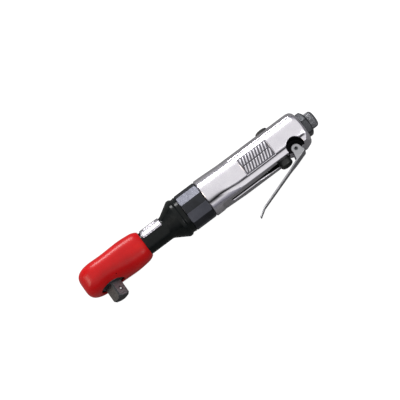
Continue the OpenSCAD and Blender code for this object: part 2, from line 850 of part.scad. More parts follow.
// Vanes drawn fully into their slots
module rotor_vanes() {
    place() color([0.45, 0.3, 0.16]) for (k = [0:vane_count - 1])
        rotate([360 * k / vane_count + 36, 0, 0])
            box([rotor_x0 + 0.05, vane_out_r - vane_h, -vane_t / 2],
                [rotor_x1 - 0.05, vane_out_r, vane_t / 2]);
}

// Dowel through the end plates and the cylinder
module cylinder_dowel() {
    place() color(bright_steel) at_dowel()
        rod_x(front_plate_x0 + 4.2, cylinder_x1 + 4.8, dowel_r);
}

// Half outline of the rails that carry the lever, in X and Z
function rail_outline() =
    let (steps = 6)
    [for (i = [0:steps])
        let (along = i / steps)
        [collar_end + (flare_end - collar_end) * along,
            rail_half + rail_flare * (1 + cos(180 * along)) / 2]];

// Flat shape of the lever channel, narrow in front and wide at its rear
module channel_shape() {
    polygon([[channel_x0 + channel_front_half, -channel_front_half],
        [165, -channel_front_half], [channel_open_x, -channel_half], [pivot_x - 8, -channel_half],
        [pivot_x - 8, channel_half], [channel_open_x, channel_half], [165, channel_front_half],
        [channel_x0 + channel_front_half, channel_front_half]]);
    translate([channel_x0 + channel_front_half, 0]) circle(r = channel_front_half);
}

// Moves a piece from the lever's pivot at zero to its place
module at_pivot() {
    translate([pivot_x, -pivot_d, 0]) children();
}

// Alloy housing of the motor and the throttle, which is also the hand grip
module motor_housing() {
    half = rail_outline();
    place() color(alloy) difference() {
        union() {
            turned_x([[0, motor_spigot_x0], [motor_spigot_r, motor_spigot_x0],
                [motor_spigot_r, nut_end + 0.1], [nut_r - 0.9, nut_end + 0.1],
                [nut_r - 0.2, nut_end + 0.8], [nut_r - 0.4, collar_end], [barrel_r, flare_end - 8],
                [barrel_r, housing_end - rear_round],
                for (a = [15:15:75]) [barrel_r - rear_round + rear_round * cos(a),
                    housing_end - rear_round + rear_round * sin(a)],
                [barrel_r - rear_round, housing_end], [0, housing_end]]);
            intersection() {
                plan_y(-rail_d, 0) polygon(concat(
                    [[nut_end + 1, rail_half + rail_flare]], half,
                    [[housing_end - 4, rail_half], [housing_end - 1, rail_half - 3],
                        [housing_end - 1, -rail_half + 3], [housing_end - 4, -rail_half]],
                    [for (i = [len(half) - 1:-1:0]) [half[i][0], -half[i][1]]],
                    [[nut_end + 1, -rail_half - rail_flare]]));
                turned_x([[0, nut_end + 0.1], [nut_r - 0.9, nut_end + 0.1],
                    [nut_r - 0.2, nut_end + 0.8], [nut_r - 0.2, collar_end],
                    [rail_limit_r, flare_end], [rail_limit_r, housing_end - 6.5],
                    [rail_limit_r - 4, housing_end - 2], [14, housing_end - 0.5],
                    [0, housing_end - 0.5]]);
            }
            at_pivot() rod_z(tongue_half, ear_r - 0.5);
        }
        // flat bottom of the barrel between the rails
        box([collar_end, -far, -rail_half], [pivot_x - 6, -rail_d, rail_half]);
        box([pivot_x + 6, -far, -rail_half], [housing_end + 1, -rail_d, rail_half]);
        // motor and gears
        rod_x(motor_spigot_x0 - 1, ring_x1, ring_bore_r);
        rod_x(ring_x1 - eps, rear_plate_x1, motor_bore_r);
        rod_x(rear_plate_x1 - eps, rear_plate_x1 + plenum_len, motor_bore_r - 1);
        // lever channel, shallow over the motor and deep at the throttle
        plan_y(-far, -channel_d) channel_shape();
        intersection() {
            plan_y(-far, -deep_d) channel_shape();
            box([deep_x0, -far, -far], [far * 4, 0, far]);
        }
        for (k = [0:3]) translate([cylinder_x0 + 11 + 5 * k, 0, 0]) rod_y(-far, 0, 1.9);
        // recess round each ear of the lever
        at_pivot() difference() {
            rod_z(far, recess_r);
            rod_z(tongue_half, far);
        }
        box([pivot_x - 8.2, -far, tongue_half], [pivot_x, -pivot_d, channel_half + 0.4]);
        box([pivot_x - 8.2, -far, -channel_half - 0.4], [pivot_x, -pivot_d, -tongue_half]);
        at_pivot() rod_z(far, pivot_pin_r);
        // room for the button, and the valve bore from the channel to the plug
        translate([valve_x, 0, 0]) {
            rod_y(-far, -deep_d, button_r + button_gap);
            rod_y(-far, gallery_y0 + 1, stem_pin_r + run);
            rod_y(gallery_y0, 0, gallery_r);
            rod_y(seat_y0, far, valve_bore_r + seat);
            rod_y(cap_y0 + 1.4, far, valve_bore_r + 0.8);
        }
        // air from the inlet to the valve, and from the valve to the motor
        translate([0, feed_y, 0]) rod_x(valve_x, inlet_x0, feed_r);
        rod_x(inlet_x0 - 3, inlet_x0 + eps, 6.4);
        rod_x(inlet_x0, housing_end + 1, inlet_shank_r);
        translate([0, -4.5, 0]) rod_x(rear_plate_x1, valve_x, 2.4);
    }
}

// Raised plate on the barrel
module badge() {
    place() color([0.8, 0.8, 0.82]) rotate([0, 90, 0]) translate([0, 0, badge_x0])
        rotate([0, 0, 143]) rotate_extrude(angle = 58) translate([barrel_r, 0])
            square([badge_t, badge_x1 - badge_x0]);
}

// Flat outline of the lever's blade seen along its normal, from behind the pivot to the tip
module blade_outline() {
    wide = tongue_half + ear_gap + lever_t;
    polygon([[ear_r - 0.4, -wide + 1], [ear_r - 1.4, -wide], [-9, -wide], [-20, -4.6],
        [-lever_len + 10, -lever_tip_w / 2 - 0.4], [-lever_len, -lever_tip_w / 2],
        [-lever_len, lever_tip_w / 2], [-lever_len + 10, lever_tip_w / 2 + 0.4], [-20, 4.6],
        [-9, wide], [ear_r - 1.4, wide], [ear_r - 0.4, wide - 1]]);
}

// Side view of the lever's blade: straight, then bent outwards at its tip
module blade_side() {
    bend = lever_len - 9;
    polygon([[ear_r, -lever_drop], [-bend, -lever_drop], [-lever_len - 1, -lever_drop - 2.6],
        [-lever_len - 1, -lever_drop - lever_t - 2.6], [-bend, -lever_drop - lever_t],
        [ear_r, -lever_drop - lever_t]]);
}

// Sheet steel throttle lever with two ears
module throttle_lever() {
    place() color(bright_steel) at_pivot() rotate([0, 0, lever_open]) difference() {
        union() {
            intersection() {
                translate([0, 0, -far]) linear_extrude(height = 2 * far) blade_side();
                plan_y(-far, far) blade_outline();
            }
            for (side = [-1, 1]) translate([0, 0, side * (tongue_half + ear_gap + lever_t / 2)])
                translate([0, 0, -lever_t / 2]) linear_extrude(height = lever_t) {
                    circle(r = ear_r);
                    polygon([[-ear_r, 0], [-8.5, -lever_drop - 0.3], [ear_r - 0.5, -lever_drop - 0.3],
                        [ear_r, 0]]);
                }
        }
        rod_z(far, pivot_pin_r + run);
    }
}

// Rolled pin that the lever turns on
module lever_pin() {
    place() color(dark_steel) at_pivot() difference() {
        rod_z(tongue_half + ear_gap + lever_t + 0.2, pivot_pin_r);
        rod_z(far, pivot_pin_r - 0.7);
        box([-0.25, 0, -far], [0.25, far, far]);
    }
}

// Throttle button with the stem that lifts the valve ball
module throttle_button() {
    round_r = 2.6;
    ball_bottom = ball_y - valve_ball_r;
    place() color(black_plastic) translate([valve_x, 0, 0]) {
        turned_y([[0, -button_d],
            for (a = [15:15:75]) [button_r - round_r + round_r * sin(a) - 1.4 * (1 - sin(a)),
                -button_d + 0.5 + round_r * (1 - cos(a))],
            [button_r, -button_d + 0.5 + round_r], [button_r, -deep_d - button_travel - 0.3],
            [0, -deep_d - button_travel - 0.3]]);
        rod_y(-button_top - button_travel - 1, ball_bottom - 0.02, stem_pin_r);
    }
}

// Ball that closes the air valve
module valve_ball() {
    place() color(bright_steel) translate([valve_x, ball_y + 0.02, 0]) sphere(r = valve_ball_r);
}

// Spring between the ball and the plug
module valve_spring() {
    spring_y0 = ball_y + valve_ball_r * 0.62;
    place() color(bright_steel) translate([valve_x, spring_y0, 0]) rotate([-90, 0, 0])
        coil_spring(3.6, 0.35, cap_y0 - spring_y0, 4);
}

// Seat that the ball closes against
module valve_seat() {
    place() color(bronze) translate([valve_x, 0, 0])
        turned_y([[seat_hole_r, seat_y0], [valve_bore_r, seat_y0], [valve_bore_r, valve_floor],
            [seat_hole_r, valve_floor]]);
}

// Plug that closes the valve bore
module valve_cap() {
    place() color(alloy) translate([valve_x, 0, 0]) difference() {
        turned_y([[0, cap_y0], [cap_r, cap_y0], [cap_r, cap_y0 + 1.4], [cap_r + 0.9, cap_y0 + 1.4],
            [cap_r + 0.9, cap_y1 - 0.5], [cap_r + 0.4, cap_y1], [0, cap_y1]]);
        plan_y(cap_y1 - 2.5, cap_y1 + 1) circle(r = 2.9, $fn = 6);
    }
}

// Seal under the plug
module valve_cap_seal() {
    place() color(seal_black) translate([valve_x, 0, 0]) plan_y(cap_y0 + 0.3, cap_y0 + 1.2)
        ring_2d(valve_bore_r, cap_r + 0.02);
}

// Inlet bushing: shank, hexagon and serrated end
module inlet_bushing() {
    serrations = 36;
    place() color(dark_steel) difference() {
        union() {
            rod_x(inlet_x0 + 0.4, housing_end + 0.1, inlet_shank_r - seat);
            intersection() {
                section_x(housing_end, hex_x1) circle(r = inlet_af / sqrt(3), $fn = 6);
                turned_x([[0, housing_end], [inlet_af / sqrt(3) - 0.9, housing_end],
                    [inlet_af / sqrt(3) - 0.3, housing_end + 0.8],
                    [inlet_af / sqrt(3) - 0.3, hex_x1 - 2], [inlet_end_r + 1.6, hex_x1],
                    [0, hex_x1]]);
            }
            turned_x([[0, hex_x1 - 1], [inlet_end_r, hex_x1 - 1], [inlet_end_r, end_x - 2],
                [inlet_end_r - 0.6, end_x - 0.7], [inlet_end_r - 1.5, end_x], [0, end_x]]);
        }
        rod_x(inlet_x0, end_x, inlet_neck_r);
        rod_x(inlet_thread_x0 - screen_t, inlet_thread_x0, screen_r);
        rod_x(inlet_thread_x0 - eps, end_x + 1, inlet_bore_r);
        for (k = [0:serrations - 1]) rotate([360 * k / serrations, 0, 0])
            translate([0, inlet_end_r + 0.15, 0]) rod_x(hex_x1 + 0.6, end_x + 1, 0.4);
    }
}

// Seal between the bushing's shank and the bottom of its hole
module inlet_seal() {
    place() color(seal_black) section_x(inlet_x0, inlet_x0 + 0.4)
        ring_2d(inlet_shank_r - 0.1, inlet_neck_r + 0.6);
}

// Round screen that keeps dirt out of the valve, sprung into a groove at the thread's end
module inlet_screen() {
    place() color(bronze) section_x(inlet_thread_x0 - screen_t, inlet_thread_x0) difference() {
        circle(r = screen_r);
        for (a = [-3:3]) for (b = [-3:3])
            if (norm([a, b]) < 3.3) translate([a * 1.4, b * 1.4]) square(0.95, center = true);
    }
}

ratchet_housing();
head_boot();
data_plate();
drive_yoke();
drive_anvil();
ratchet_pawl();
pawl_pin();
reverse_knob();
selector_ball();
selector_spring();
thrust_washer();
head_circlip();
socket_ball();
socket_spring();
drive_bush();
crankshaft();
front_crank_bush();
rear_crank_bush();
planet_pins();
planet_gear_1();
planet_gear_2();
planet_gear_3();
ring_gear();
clamp_nut();
clamp_ring();
front_end_plate();
front_bearing_outer();
front_bearing_inner();
front_bearing_balls();
motor_cylinder();
rotor();
rotor_vanes();
cylinder_dowel();
rear_end_plate();
rear_bearing_outer();
rear_bearing_inner();
rear_bearing_balls();
motor_housing();
badge();
throttle_lever();
lever_pin();
throttle_button();
valve_ball();
valve_spring();
valve_seat();
valve_cap();
valve_cap_seal();
inlet_bushing();
inlet_seal();
inlet_screen();
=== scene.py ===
"""Looks of an air ratchet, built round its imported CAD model.

Shapes are worked out in millimetres about the tool's centreline: x runs towards the air inlet,
y away from the square drive, z up. finish_piece() turns them into metres in the shared frame.
"""
import json
import math

import bmesh
import bpy
import numpy as np
from mathutils import Matrix, Vector

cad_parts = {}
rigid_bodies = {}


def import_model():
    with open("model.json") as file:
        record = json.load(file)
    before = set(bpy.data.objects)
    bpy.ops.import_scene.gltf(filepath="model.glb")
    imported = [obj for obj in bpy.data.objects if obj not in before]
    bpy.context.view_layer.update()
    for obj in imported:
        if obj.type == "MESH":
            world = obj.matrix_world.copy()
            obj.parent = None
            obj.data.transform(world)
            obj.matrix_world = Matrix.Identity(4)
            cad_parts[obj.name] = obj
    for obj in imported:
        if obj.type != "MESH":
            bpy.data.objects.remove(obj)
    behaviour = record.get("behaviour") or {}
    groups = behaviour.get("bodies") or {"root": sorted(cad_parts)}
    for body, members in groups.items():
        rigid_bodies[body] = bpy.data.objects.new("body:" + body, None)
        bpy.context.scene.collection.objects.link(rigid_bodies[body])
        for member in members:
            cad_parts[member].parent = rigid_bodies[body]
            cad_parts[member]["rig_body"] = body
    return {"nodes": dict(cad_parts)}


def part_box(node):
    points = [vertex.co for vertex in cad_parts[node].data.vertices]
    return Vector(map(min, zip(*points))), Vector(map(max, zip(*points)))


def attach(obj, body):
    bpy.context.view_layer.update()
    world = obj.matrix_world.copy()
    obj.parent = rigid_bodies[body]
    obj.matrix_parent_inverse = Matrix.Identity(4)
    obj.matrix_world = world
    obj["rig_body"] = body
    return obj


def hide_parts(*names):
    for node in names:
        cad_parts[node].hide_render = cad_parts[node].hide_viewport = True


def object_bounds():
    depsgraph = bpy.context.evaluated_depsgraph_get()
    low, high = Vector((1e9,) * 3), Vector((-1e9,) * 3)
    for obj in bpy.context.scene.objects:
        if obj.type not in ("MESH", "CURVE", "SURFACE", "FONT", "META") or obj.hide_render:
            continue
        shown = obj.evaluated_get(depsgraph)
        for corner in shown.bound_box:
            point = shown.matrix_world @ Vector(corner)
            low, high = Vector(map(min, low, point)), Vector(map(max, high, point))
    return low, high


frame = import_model()

MM = 0.001
CAD_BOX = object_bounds()
AXIS_Y = (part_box("ring_gear")[0].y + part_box("ring_gear")[1].y) / 2 / MM
NODES = frame["nodes"]


def node_span(node, axis):
    """Lowest and highest place of a CAD node along an axis, in millimetres about the centreline."""
    low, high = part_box(node)
    shift = AXIS_Y if axis == 1 else 0
    return low[axis] / MM - shift, high[axis] / MM - shift


# ---------------------------------------------------------------- camera, floor and light

AZIMUTH = math.radians(-8.5)
ELEVATION = math.radians(72.5)
ROLL = math.radians(28.7)
DISTANCE = 0.9
VIEW_ANGLE = math.radians(23.0)
TARGET = Vector((0.1093, 0.0145, 0.0))


def make_camera():
    """A camera that looks down at the tool, turned so that the tool runs up to the right."""
    back = Vector((math.sin(AZIMUTH) * math.cos(ELEVATION),
                   -math.cos(AZIMUTH) * math.cos(ELEVATION), math.sin(ELEVATION)))
    level = Vector((math.cos(AZIMUTH), math.sin(AZIMUTH), 0.0))
    over = back.cross(level)
    right = level * math.cos(ROLL) - over * math.sin(ROLL)
    up = back.cross(right)
    place = TARGET + back * DISTANCE
    data = bpy.data.cameras.new("camera")
    data.angle = VIEW_ANGLE
    data.clip_start = 0.01
    camera = bpy.data.objects.new("camera", data)
    bpy.context.scene.collection.objects.link(camera)
    camera.matrix_world = Matrix(((right.x, up.x, back.x, place.x),
                                  (right.y, up.y, back.y, place.y),
                                  (right.z, up.z, back.z, place.z),
                                  (0, 0, 0, 1)))
    bpy.context.scene.camera = camera


def set_stops(ramp, stops):
    """Gives a colour ramp node its stops, each (position, colour)."""
    elements = ramp.color_ramp.elements
    while len(elements) < len(stops):
        elements.new(0.5)
    for element, (position, colour) in zip(elements, stops):
        element.position = position
        element.color = (*colour, 1)


SKY_STRENGTH = 0.8
SKY_STOPS = ((0.03, (0.08, 0.08, 0.10)), (0.3, (0.45, 0.45, 0.5)), (0.55, (1.0, 1.0, 1.0)))


def make_world():
    """A sky that is white to the camera, and that metal mirrors as bright above, dark at the horizon."""
    world = bpy.data.worlds.new("studio")
    bpy.context.scene.world = world
    world.use_nodes = True
    nodes, links = world.node_tree.nodes, world.node_tree.links
    nodes.clear()
    out = nodes.new("ShaderNodeOutputWorld")
    seen = nodes.new("ShaderNodeBackground")
    seen.inputs["Color"].default_value = (1, 1, 1, 1)
    seen.inputs["Strength"].default_value = 1.0
    sky = nodes.new("ShaderNodeBackground")
    sky.inputs["Strength"].default_value = SKY_STRENGTH
    place = nodes.new("ShaderNodeTexCoord")
    split = nodes.new("ShaderNodeSeparateXYZ")
    ramp = nodes.new("ShaderNodeValToRGB")
    set_stops(ramp, SKY_STOPS)
    path = nodes.new("ShaderNodeLightPath")
    mix = nodes.new("ShaderNodeMixShader")
    links.new(place.outputs["Generated"], split.inputs[0])
    links.new(split.outputs["Z"], ramp.inputs["Fac"])
    links.new(ramp.outputs["Color"], sky.inputs["Color"])
    links.new(path.outputs["Is Camera Ray"], mix.inputs["Fac"])
    links.new(sky.outputs[0], mix.inputs[1])
    links.new(seen.outputs[0], mix.inputs[2])
    links.new(mix.outputs[0], out.inputs["Surface"])


LIGHTS = (
    ("key", (0.06, 0.95, 0.42), (0.8, 0.24), 9.0, (1.0, 1.0, 1.0)),
    ("nose", (-0.9, 0.2, 0.2), (0.4, 0.3), 1.8, (1.0, 0.86, 0.72)),
    ("fill", (0.6, -0.6, 0.55), (0.4, 0.3), 0.9, (1.0, 1.0, 1.0)),
)


def area_light(name, place, size, power, colour):
    """A soft light of size (width, height) in metres that faces the middle of the tool."""
    data = bpy.data.lights.new(name, "AREA")
    data.shape = "RECTANGLE"
    data.size, data.size_y = size
    data.energy = power
    data.color = colour
    light = bpy.data.objects.new(name, data)
    bpy.context.scene.collection.objects.link(light)
    light.location = place
    aim = TARGET - Vector(place)
    light.rotation_euler = aim.to_track_quat("-Z", "Y").to_euler()


FLOOR_HALF = 6.0
FLOOR_GAP = 0.0002
FLOOR_GREY = 0.16
FLOOR_GLOW = 0.95
FLOOR_GLOW_IN_METAL = 0.02


def make_floor():
    """A plain pale floor at the tool's lowest point, greyer where polished metal mirrors it."""
    half = FLOOR_HALF
    low = CAD_BOX[0].z - FLOOR_GAP
    mesh = bpy.data.meshes.new("floor")
    mesh.from_pydata([(-half, -half, low), (half, -half, low), (half, half, low),
                      (-half, half, low)], [], [(0, 1, 2, 3)])
    floor = bpy.data.objects.new("floor", mesh)
    bpy.context.scene.collection.objects.link(floor)
    paint = bpy.data.materials.new("floor_white")
    paint.use_nodes = True
    shader = paint.node_tree.nodes["Principled BSDF"]
    shader.inputs["Base Color"].default_value = (FLOOR_GREY, FLOOR_GREY, FLOOR_GREY, 1)
    shader.inputs["Roughness"].default_value = 0.9
    shader.inputs["Specular IOR Level"].default_value = 0.1
    shader.inputs["Emission Color"].default_value = (1, 1, 1, 1)
    path = paint.node_tree.nodes.new("ShaderNodeLightPath")
    glow = paint.node_tree.nodes.new("ShaderNodeMapRange")
    glow.inputs["To Min"].default_value = FLOOR_GLOW_IN_METAL
    glow.inputs["To Max"].default_value = FLOOR_GLOW
    paint.node_tree.links.new(path.outputs["Is Camera Ray"], glow.inputs["Value"])
    paint.node_tree.links.new(glow.outputs["Result"], shader.inputs["Emission Strength"])
    mesh.materials.append(paint)


# ---------------------------------------------------------------- materials

class Nodes:
    """A material's node tree with a few short ways to add to it."""

    def __init__(self, name):
        self.material = bpy.data.materials.new(name)
        self.material.use_nodes = True
        self.tree = self.material.node_tree
        self.shader = self.tree.nodes["Principled BSDF"]
        self.place = self.tree.nodes.new("ShaderNodeTexCoord").outputs["Object"]

    def set(self, **values):
        """Sets the shader's own sockets; underscores in names stand for spaces."""
        for name, value in values.items():
            self.shader.inputs[name.replace("_", " ")].default_value = value
        return self

    def link(self, start, end):
        self.tree.links.new(start, end)

    def stretched(self, scale):
        """The object's place, scaled on each axis, which turns spots into lines."""
        mapping = self.tree.nodes.new("ShaderNodeMapping")
        mapping.inputs["Scale"].default_value = scale
        self.link(self.place, mapping.inputs["Vector"])
        return mapping.outputs["Vector"]

    def noise(self, scale, detail=4.0, roughness=0.55, place=None):
        texture = self.tree.nodes.new("ShaderNodeTexNoise")
        texture.inputs["Scale"].default_value = scale
        texture.inputs["Detail"].default_value = detail
        texture.inputs["Roughness"].default_value = roughness
        self.link(place or self.place, texture.inputs["Vector"])
        return texture.outputs["Fac"]

    def attribute(self, name):
        """A number that the mesh holds at each of its points."""
        held = self.tree.nodes.new("ShaderNodeAttribute")
        held.attribute_name = name
        return held.outputs["Fac"]

    def worn(self, low, high):
        """1 on convex edges and 0 elsewhere."""
        geometry = self.tree.nodes.new("ShaderNodeNewGeometry")
        return self.ranged(geometry.outputs["Pointiness"], low, high, 0.0, 1.0)

    def ranged(self, value, low, high, to_low, to_high):
        spread = self.tree.nodes.new("ShaderNodeMapRange")
        for name, number in (("From Min", low), ("From Max", high), ("To Min", to_low),
                             ("To Max", to_high)):
            spread.inputs[name].default_value = number
        self.link(value, spread.inputs["Value"])
        return spread.outputs["Result"]

    def times(self, first, second):
        return self.sum_or_product("MULTIPLY", first, second)

    def total(self, first, second):
        return self.sum_or_product("ADD", first, second)

    def sum_or_product(self, operation, first, second):
        product = self.tree.nodes.new("ShaderNodeMath")
        product.operation = operation
        for number, socket in enumerate((first, second)):
            if isinstance(socket, float):
                product.inputs[number].default_value = socket
            else:
                self.link(socket, product.inputs[number])
        return product.outputs[0]

    def ramp(self, value, *stops):
        """Colours along a value; each stop is (position, colour)."""
        ramp = self.tree.nodes.new("ShaderNodeValToRGB")
        set_stops(ramp, stops)
        self.link(value, ramp.inputs["Fac"])
        return ramp.outputs["Color"]

    def mix(self, factor, first, second):
        """Blends two colours, each a socket or a plain colour."""
        factor_in, first_in, second_in, colour_out = 0, 6, 7, 2
        blend = self.tree.nodes.new("ShaderNodeMix")
        blend.data_type = "RGBA"
        self.link(factor, blend.inputs[factor_in])
        for number, colour in ((first_in, first), (second_in, second)):
            if isinstance(colour, tuple):
                blend.inputs[number].default_value = (*colour, 1)
            else:
                self.link(colour, blend.inputs[number])
        return blend.outputs[colour_out]

    def colour(self, socket):
        self.link(socket, self.shader.inputs["Base Color"])
        return self

    def rough(self, socket):
        self.link(socket, self.shader.inputs["Roughness"])
        return self

    def bump(self, height, distance, strength=1.0):
        """Fine relief; distance is its height in metres."""
        bump = self.tree.nodes.new("ShaderNodeBump")
        bump.inputs["Strength"].default_value = strength
        bump.inputs["Distance"].default_value = distance
        self.link(height, bump.inputs["Height"])
        self.link(bump.outputs["Normal"], self.shader.inputs["Normal"])
        return self


def plain_metal(name, dark, light, rough_low, rough_high, grain=900.0, relief=2e-6):
    """Metal with cloudy colour, uneven gloss and a fine grain."""
    made = Nodes(name).set(Metallic=1.0)
    cloud = made.noise(90.0)
    fine = made.noise(grain, 6.0)
    made.colour(made.ramp(cloud, (0.3, dark), (0.7, light)))
    made.rough(made.ranged(cloud, 0.3, 0.7, rough_low, rough_high))
    return made.bump(fine, relief).material


def turned_metal(name, dark, light, rough_low, rough_high, metallic=1.0):
    """Metal with the fine rings that a lathe leaves round the X axis."""
    made = Nodes(name).set(Metallic=metallic)
    rings = made.noise(1.0, 3.0, 0.6, made.stretched((5200.0, 60.0, 60.0)))
    cloud = made.noise(120.0)
    made.colour(made.ramp(cloud, (0.3, dark), (0.7, light)))
    made.rough(made.ranged(rings, 0.3, 0.7, rough_low, rough_high))
    return made.bump(rings, 4e-6).material


def polished_alloy():
    """Hand-polished cast alloy, with painted shade: dark and dull where the mesh's painted-shade
    attribute says so.
    """
    made = Nodes("polished_alloy").set(Metallic=1.0)
    shade_layer = made.attribute("unpolished")
    waves = made.noise(140.0, 2.0)
    buffing = made.noise(1.0, 5.0, 0.6, made.stretched((260.0, 2400.0, 2400.0)))
    bright = made.ramp(waves, (0.3, (0.86, 0.83, 0.89)), (0.7, (0.93, 0.905, 0.95)))
    # Painted shade: the alloy colour turns near black where the attribute marks shade.
    made.colour(made.mix(shade_layer, bright, (0.012, 0.012, 0.013)))
    made.rough(made.total(made.ranged(buffing, 0.25, 0.75, 0.14, 0.26), made.times(shade_layer, 0.4)))
    return made.bump(waves, 2.5e-5, 0.6).material


def boot_red():
    """Glossy moulded vinyl with soft flow marks."""
    made = Nodes("boot_red").set(Coat_Weight=0.55, Coat_Roughness=0.3, Specular_IOR_Level=0.05)
    flow = made.noise(55.0, 3.0)
    skin = made.noise(700.0, 4.0)
    made.colour(made.ramp(flow, (0.25, (0.50, 0.0015, 0.003)), (0.6, (0.58, 0.002, 0.003)),
                          (0.85, (0.66, 0.008, 0.003))))
    made.rough(made.ranged(skin, 0.3, 0.7, 0.24, 0.36))
    return made.bump(skin, 6e-6, 0.5).material


def black_enamel():
    """Gloss black finish over a forging, with a little metal on its worn edges."""
    made = Nodes("forged_black").set(Specular_IOR_Level=0.22)
    skin = made.noise(260.0, 5.0)
    edge = made.times(made.worn(0.54, 0.62), made.ranged(skin, 0.45, 0.6, 0.0, 1.0))
    made.colour(made.mix(edge, made.ramp(skin, (0.3, (0.0025, 0.0035, 0.003)),
                                         (0.75, (0.006, 0.008, 0.008))), (0.12, 0.12, 0.125)))
    made.rough(made.ranged(skin, 0.3, 0.7, 0.14, 0.26))
    return made.bump(skin, 2.2e-5, 0.5).material


def drive_steel():
    """Phosphated drive: charcoal, with bright wear on its corners and ground end."""
    made = Nodes("drive_steel").set(Metallic=0.85)
    skin = made.noise(800.0, 6.0)
    rub = made.noise(1.0, 3.0, 0.6, made.stretched((300.0, 2600.0, 300.0)))
    edge = made.times(made.worn(0.52, 0.6), made.ranged(rub, 0.3, 0.65, 0.2, 1.0))
    made.colour(made.mix(edge, made.ramp(skin, (0.3, (0.045, 0.047, 0.05)),
                                         (0.7, (0.10, 0.105, 0.11))), (0.46, 0.46, 0.48)))
    made.rough(made.ranged(skin, 0.3, 0.7, 0.34, 0.5))
    return made.bump(skin, 6e-6).material


def nut_flat():
    """Blued nut flats with faint milling lines."""
    made = Nodes("nut_flat").set(Metallic=0.75)
    lines = made.noise(1.0, 3.0, 0.6, made.stretched((2400.0, 110.0, 110.0)))
    cloud = made.noise(70.0, 3.0)
    made.colour(made.ramp(cloud, (0.3, (0.070, 0.072, 0.088)), (0.7, (0.100, 0.102, 0.122))))
    made.rough(made.ranged(lines, 0.3, 0.7, 0.36, 0.5))
    return made.bump(lines, 5e-6).material


def soft_black(name, dark, light, rough_low, rough_high, grain, relief, coat=0.0):
    """Moulded plastic or rubber."""
    made = Nodes(name).set(Coat_Weight=coat, Coat_Roughness=0.15, Specular_IOR_Level=0.45)
    skin = made.noise(grain, 5.0)
    made.colour(made.ramp(skin, (0.3, dark), (0.7, light)))
    made.rough(made.ranged(skin, 0.3, 0.7, rough_low, rough_high))
    return made.bump(skin, relief).material


def lever_sheet():
    """Plated sheet steel, brushed along the lever."""
    made = Nodes("lever_sheet").set(Metallic=1.0)
    brushed = made.noise(1.0, 5.0, 0.6, made.stretched((160.0, 420.0, 3600.0)))
    cloud = made.noise(120.0, 3.0)
    made.colour(made.ramp(cloud, (0.3, (0.42, 0.42, 0.44)), (0.7, (0.54, 0.54, 0.56))))
    made.rough(made.ranged(brushed, 0.3, 0.7, 0.22, 0.4))
    return made.bump(brushed, 6e-6).material


def phenolic():
    """Laminated vane: brown layers of resin and cloth."""
    made = Nodes("vane_phenolic").set(Specular_IOR_Level=0.4)
    layers = made.noise(1.0, 2.0, 0.5, made.stretched((90.0, 3400.0, 3400.0)))
    made.colour(made.ramp(layers, (0.35, (0.16, 0.07, 0.025)), (0.65, (0.33, 0.17, 0.07))))
    made.rough(made.ranged(layers, 0.3, 0.7, 0.42, 0.6))
    return made.bump(layers, 8e-6).material


def marked_metal(name, light, dark):
    """Satin metal, darker where the "recess" attribute says so."""
    made = Nodes(name).set(Metallic=1.0)
    grain = made.noise(1500.0, 5.0)
    made.colour(made.mix(made.attribute("recess"), light, dark))
    made.rough(made.ranged(grain, 0.3, 0.7, 0.28, 0.42))
    return made.bump(grain, 6e-6).material


PAINTS = {
    "forged_black": black_enamel(),
    "boot_red": boot_red(),
    "plate_metal": marked_metal("plate_metal", (0.50, 0.48, 0.52), (0.10, 0.095, 0.11)),
    "hard_steel": plain_metal("hard_steel", (0.16, 0.165, 0.175), (0.24, 0.245, 0.26), 0.28, 0.42),
    "bright_steel": plain_metal("bright_steel", (0.62, 0.63, 0.65), (0.78, 0.79, 0.8), 0.14, 0.26),
    "drive_steel": drive_steel(),
    "bronze": plain_metal("bronze", (0.50, 0.30, 0.12), (0.66, 0.43, 0.19), 0.3, 0.48, 600.0, 8e-6),
    "nut_finish": nut_flat(),
    "polished_alloy": polished_alloy(),
    "cylinder_iron": turned_metal("cylinder_iron", (0.24, 0.24, 0.25), (0.33, 0.33, 0.34),
                                  0.32, 0.5),
    "vane_phenolic": phenolic(),
    "badge_metal": marked_metal("badge_metal", (0.80, 0.78, 0.83), (0.13, 0.125, 0.14)),
    "lever_sheet": lever_sheet(),
    "black_plastic": soft_black("black_plastic", (0.010, 0.011, 0.010), (0.022, 0.024, 0.021),
                                0.32, 0.46, 900.0, 1.2e-5, 0.2),
    "seal_rubber": soft_black("seal_rubber", (0.012, 0.012, 0.013), (0.03, 0.03, 0.032),
                              0.55, 0.75, 1400.0, 1.5e-5),
    "bushing_steel": turned_metal("bushing_steel", (0.13, 0.132, 0.14), (0.21, 0.213, 0.225),
                                  0.26, 0.42),
}
# Two finishes for parts of a piece, which no slot of the record names.
OXIDE = turned_metal("black_oxide", (0.03, 0.032, 0.035), (0.075, 0.078, 0.085), 0.24, 0.4, 0.7)
NUT_CORNER = turned_metal("nut_corner", (0.012, 0.013, 0.016), (0.022, 0.024, 0.03), 0.26, 0.4, 0.4)


# ---------------------------------------------------------------- building helpers

def slot_of(node):
    """The record's material slot of a CAD node."""
    return NODES[node].data.materials[0].name.split(".")[0]


def finish_piece(piece, node, paints=None):
    """Puts a built piece on its CAD node's body in place of that node, with the node's finish."""
    slot = slot_of(node)
    if piece.data.materials:
        piece.data.materials.clear()
    for paint in paints or [PAINTS[slot]]:
        piece.data.materials.append(paint)
    piece.data.polygons.foreach_set("use_smooth", [True] * len(piece.data.polygons))
    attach(piece, NODES[node]["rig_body"])
    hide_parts(node)
    return piece


def coordinates(mesh):
    """A mesh's points in millimetres about the centreline."""
    flat = np.zeros(len(mesh.vertices) * 3)
    mesh.vertices.foreach_get("co", flat)
    return flat.reshape(-1, 3) / MM - np.array((0, AXIS_Y, 0))


def put_coordinates(mesh, points):
    """Writes points given in millimetres about the centreline."""
    moved = (np.asarray(points) + np.array((0, AXIS_Y, 0))) * MM
    mesh.vertices.foreach_set("co", moved.astype(np.float32).ravel())
    mesh.update()


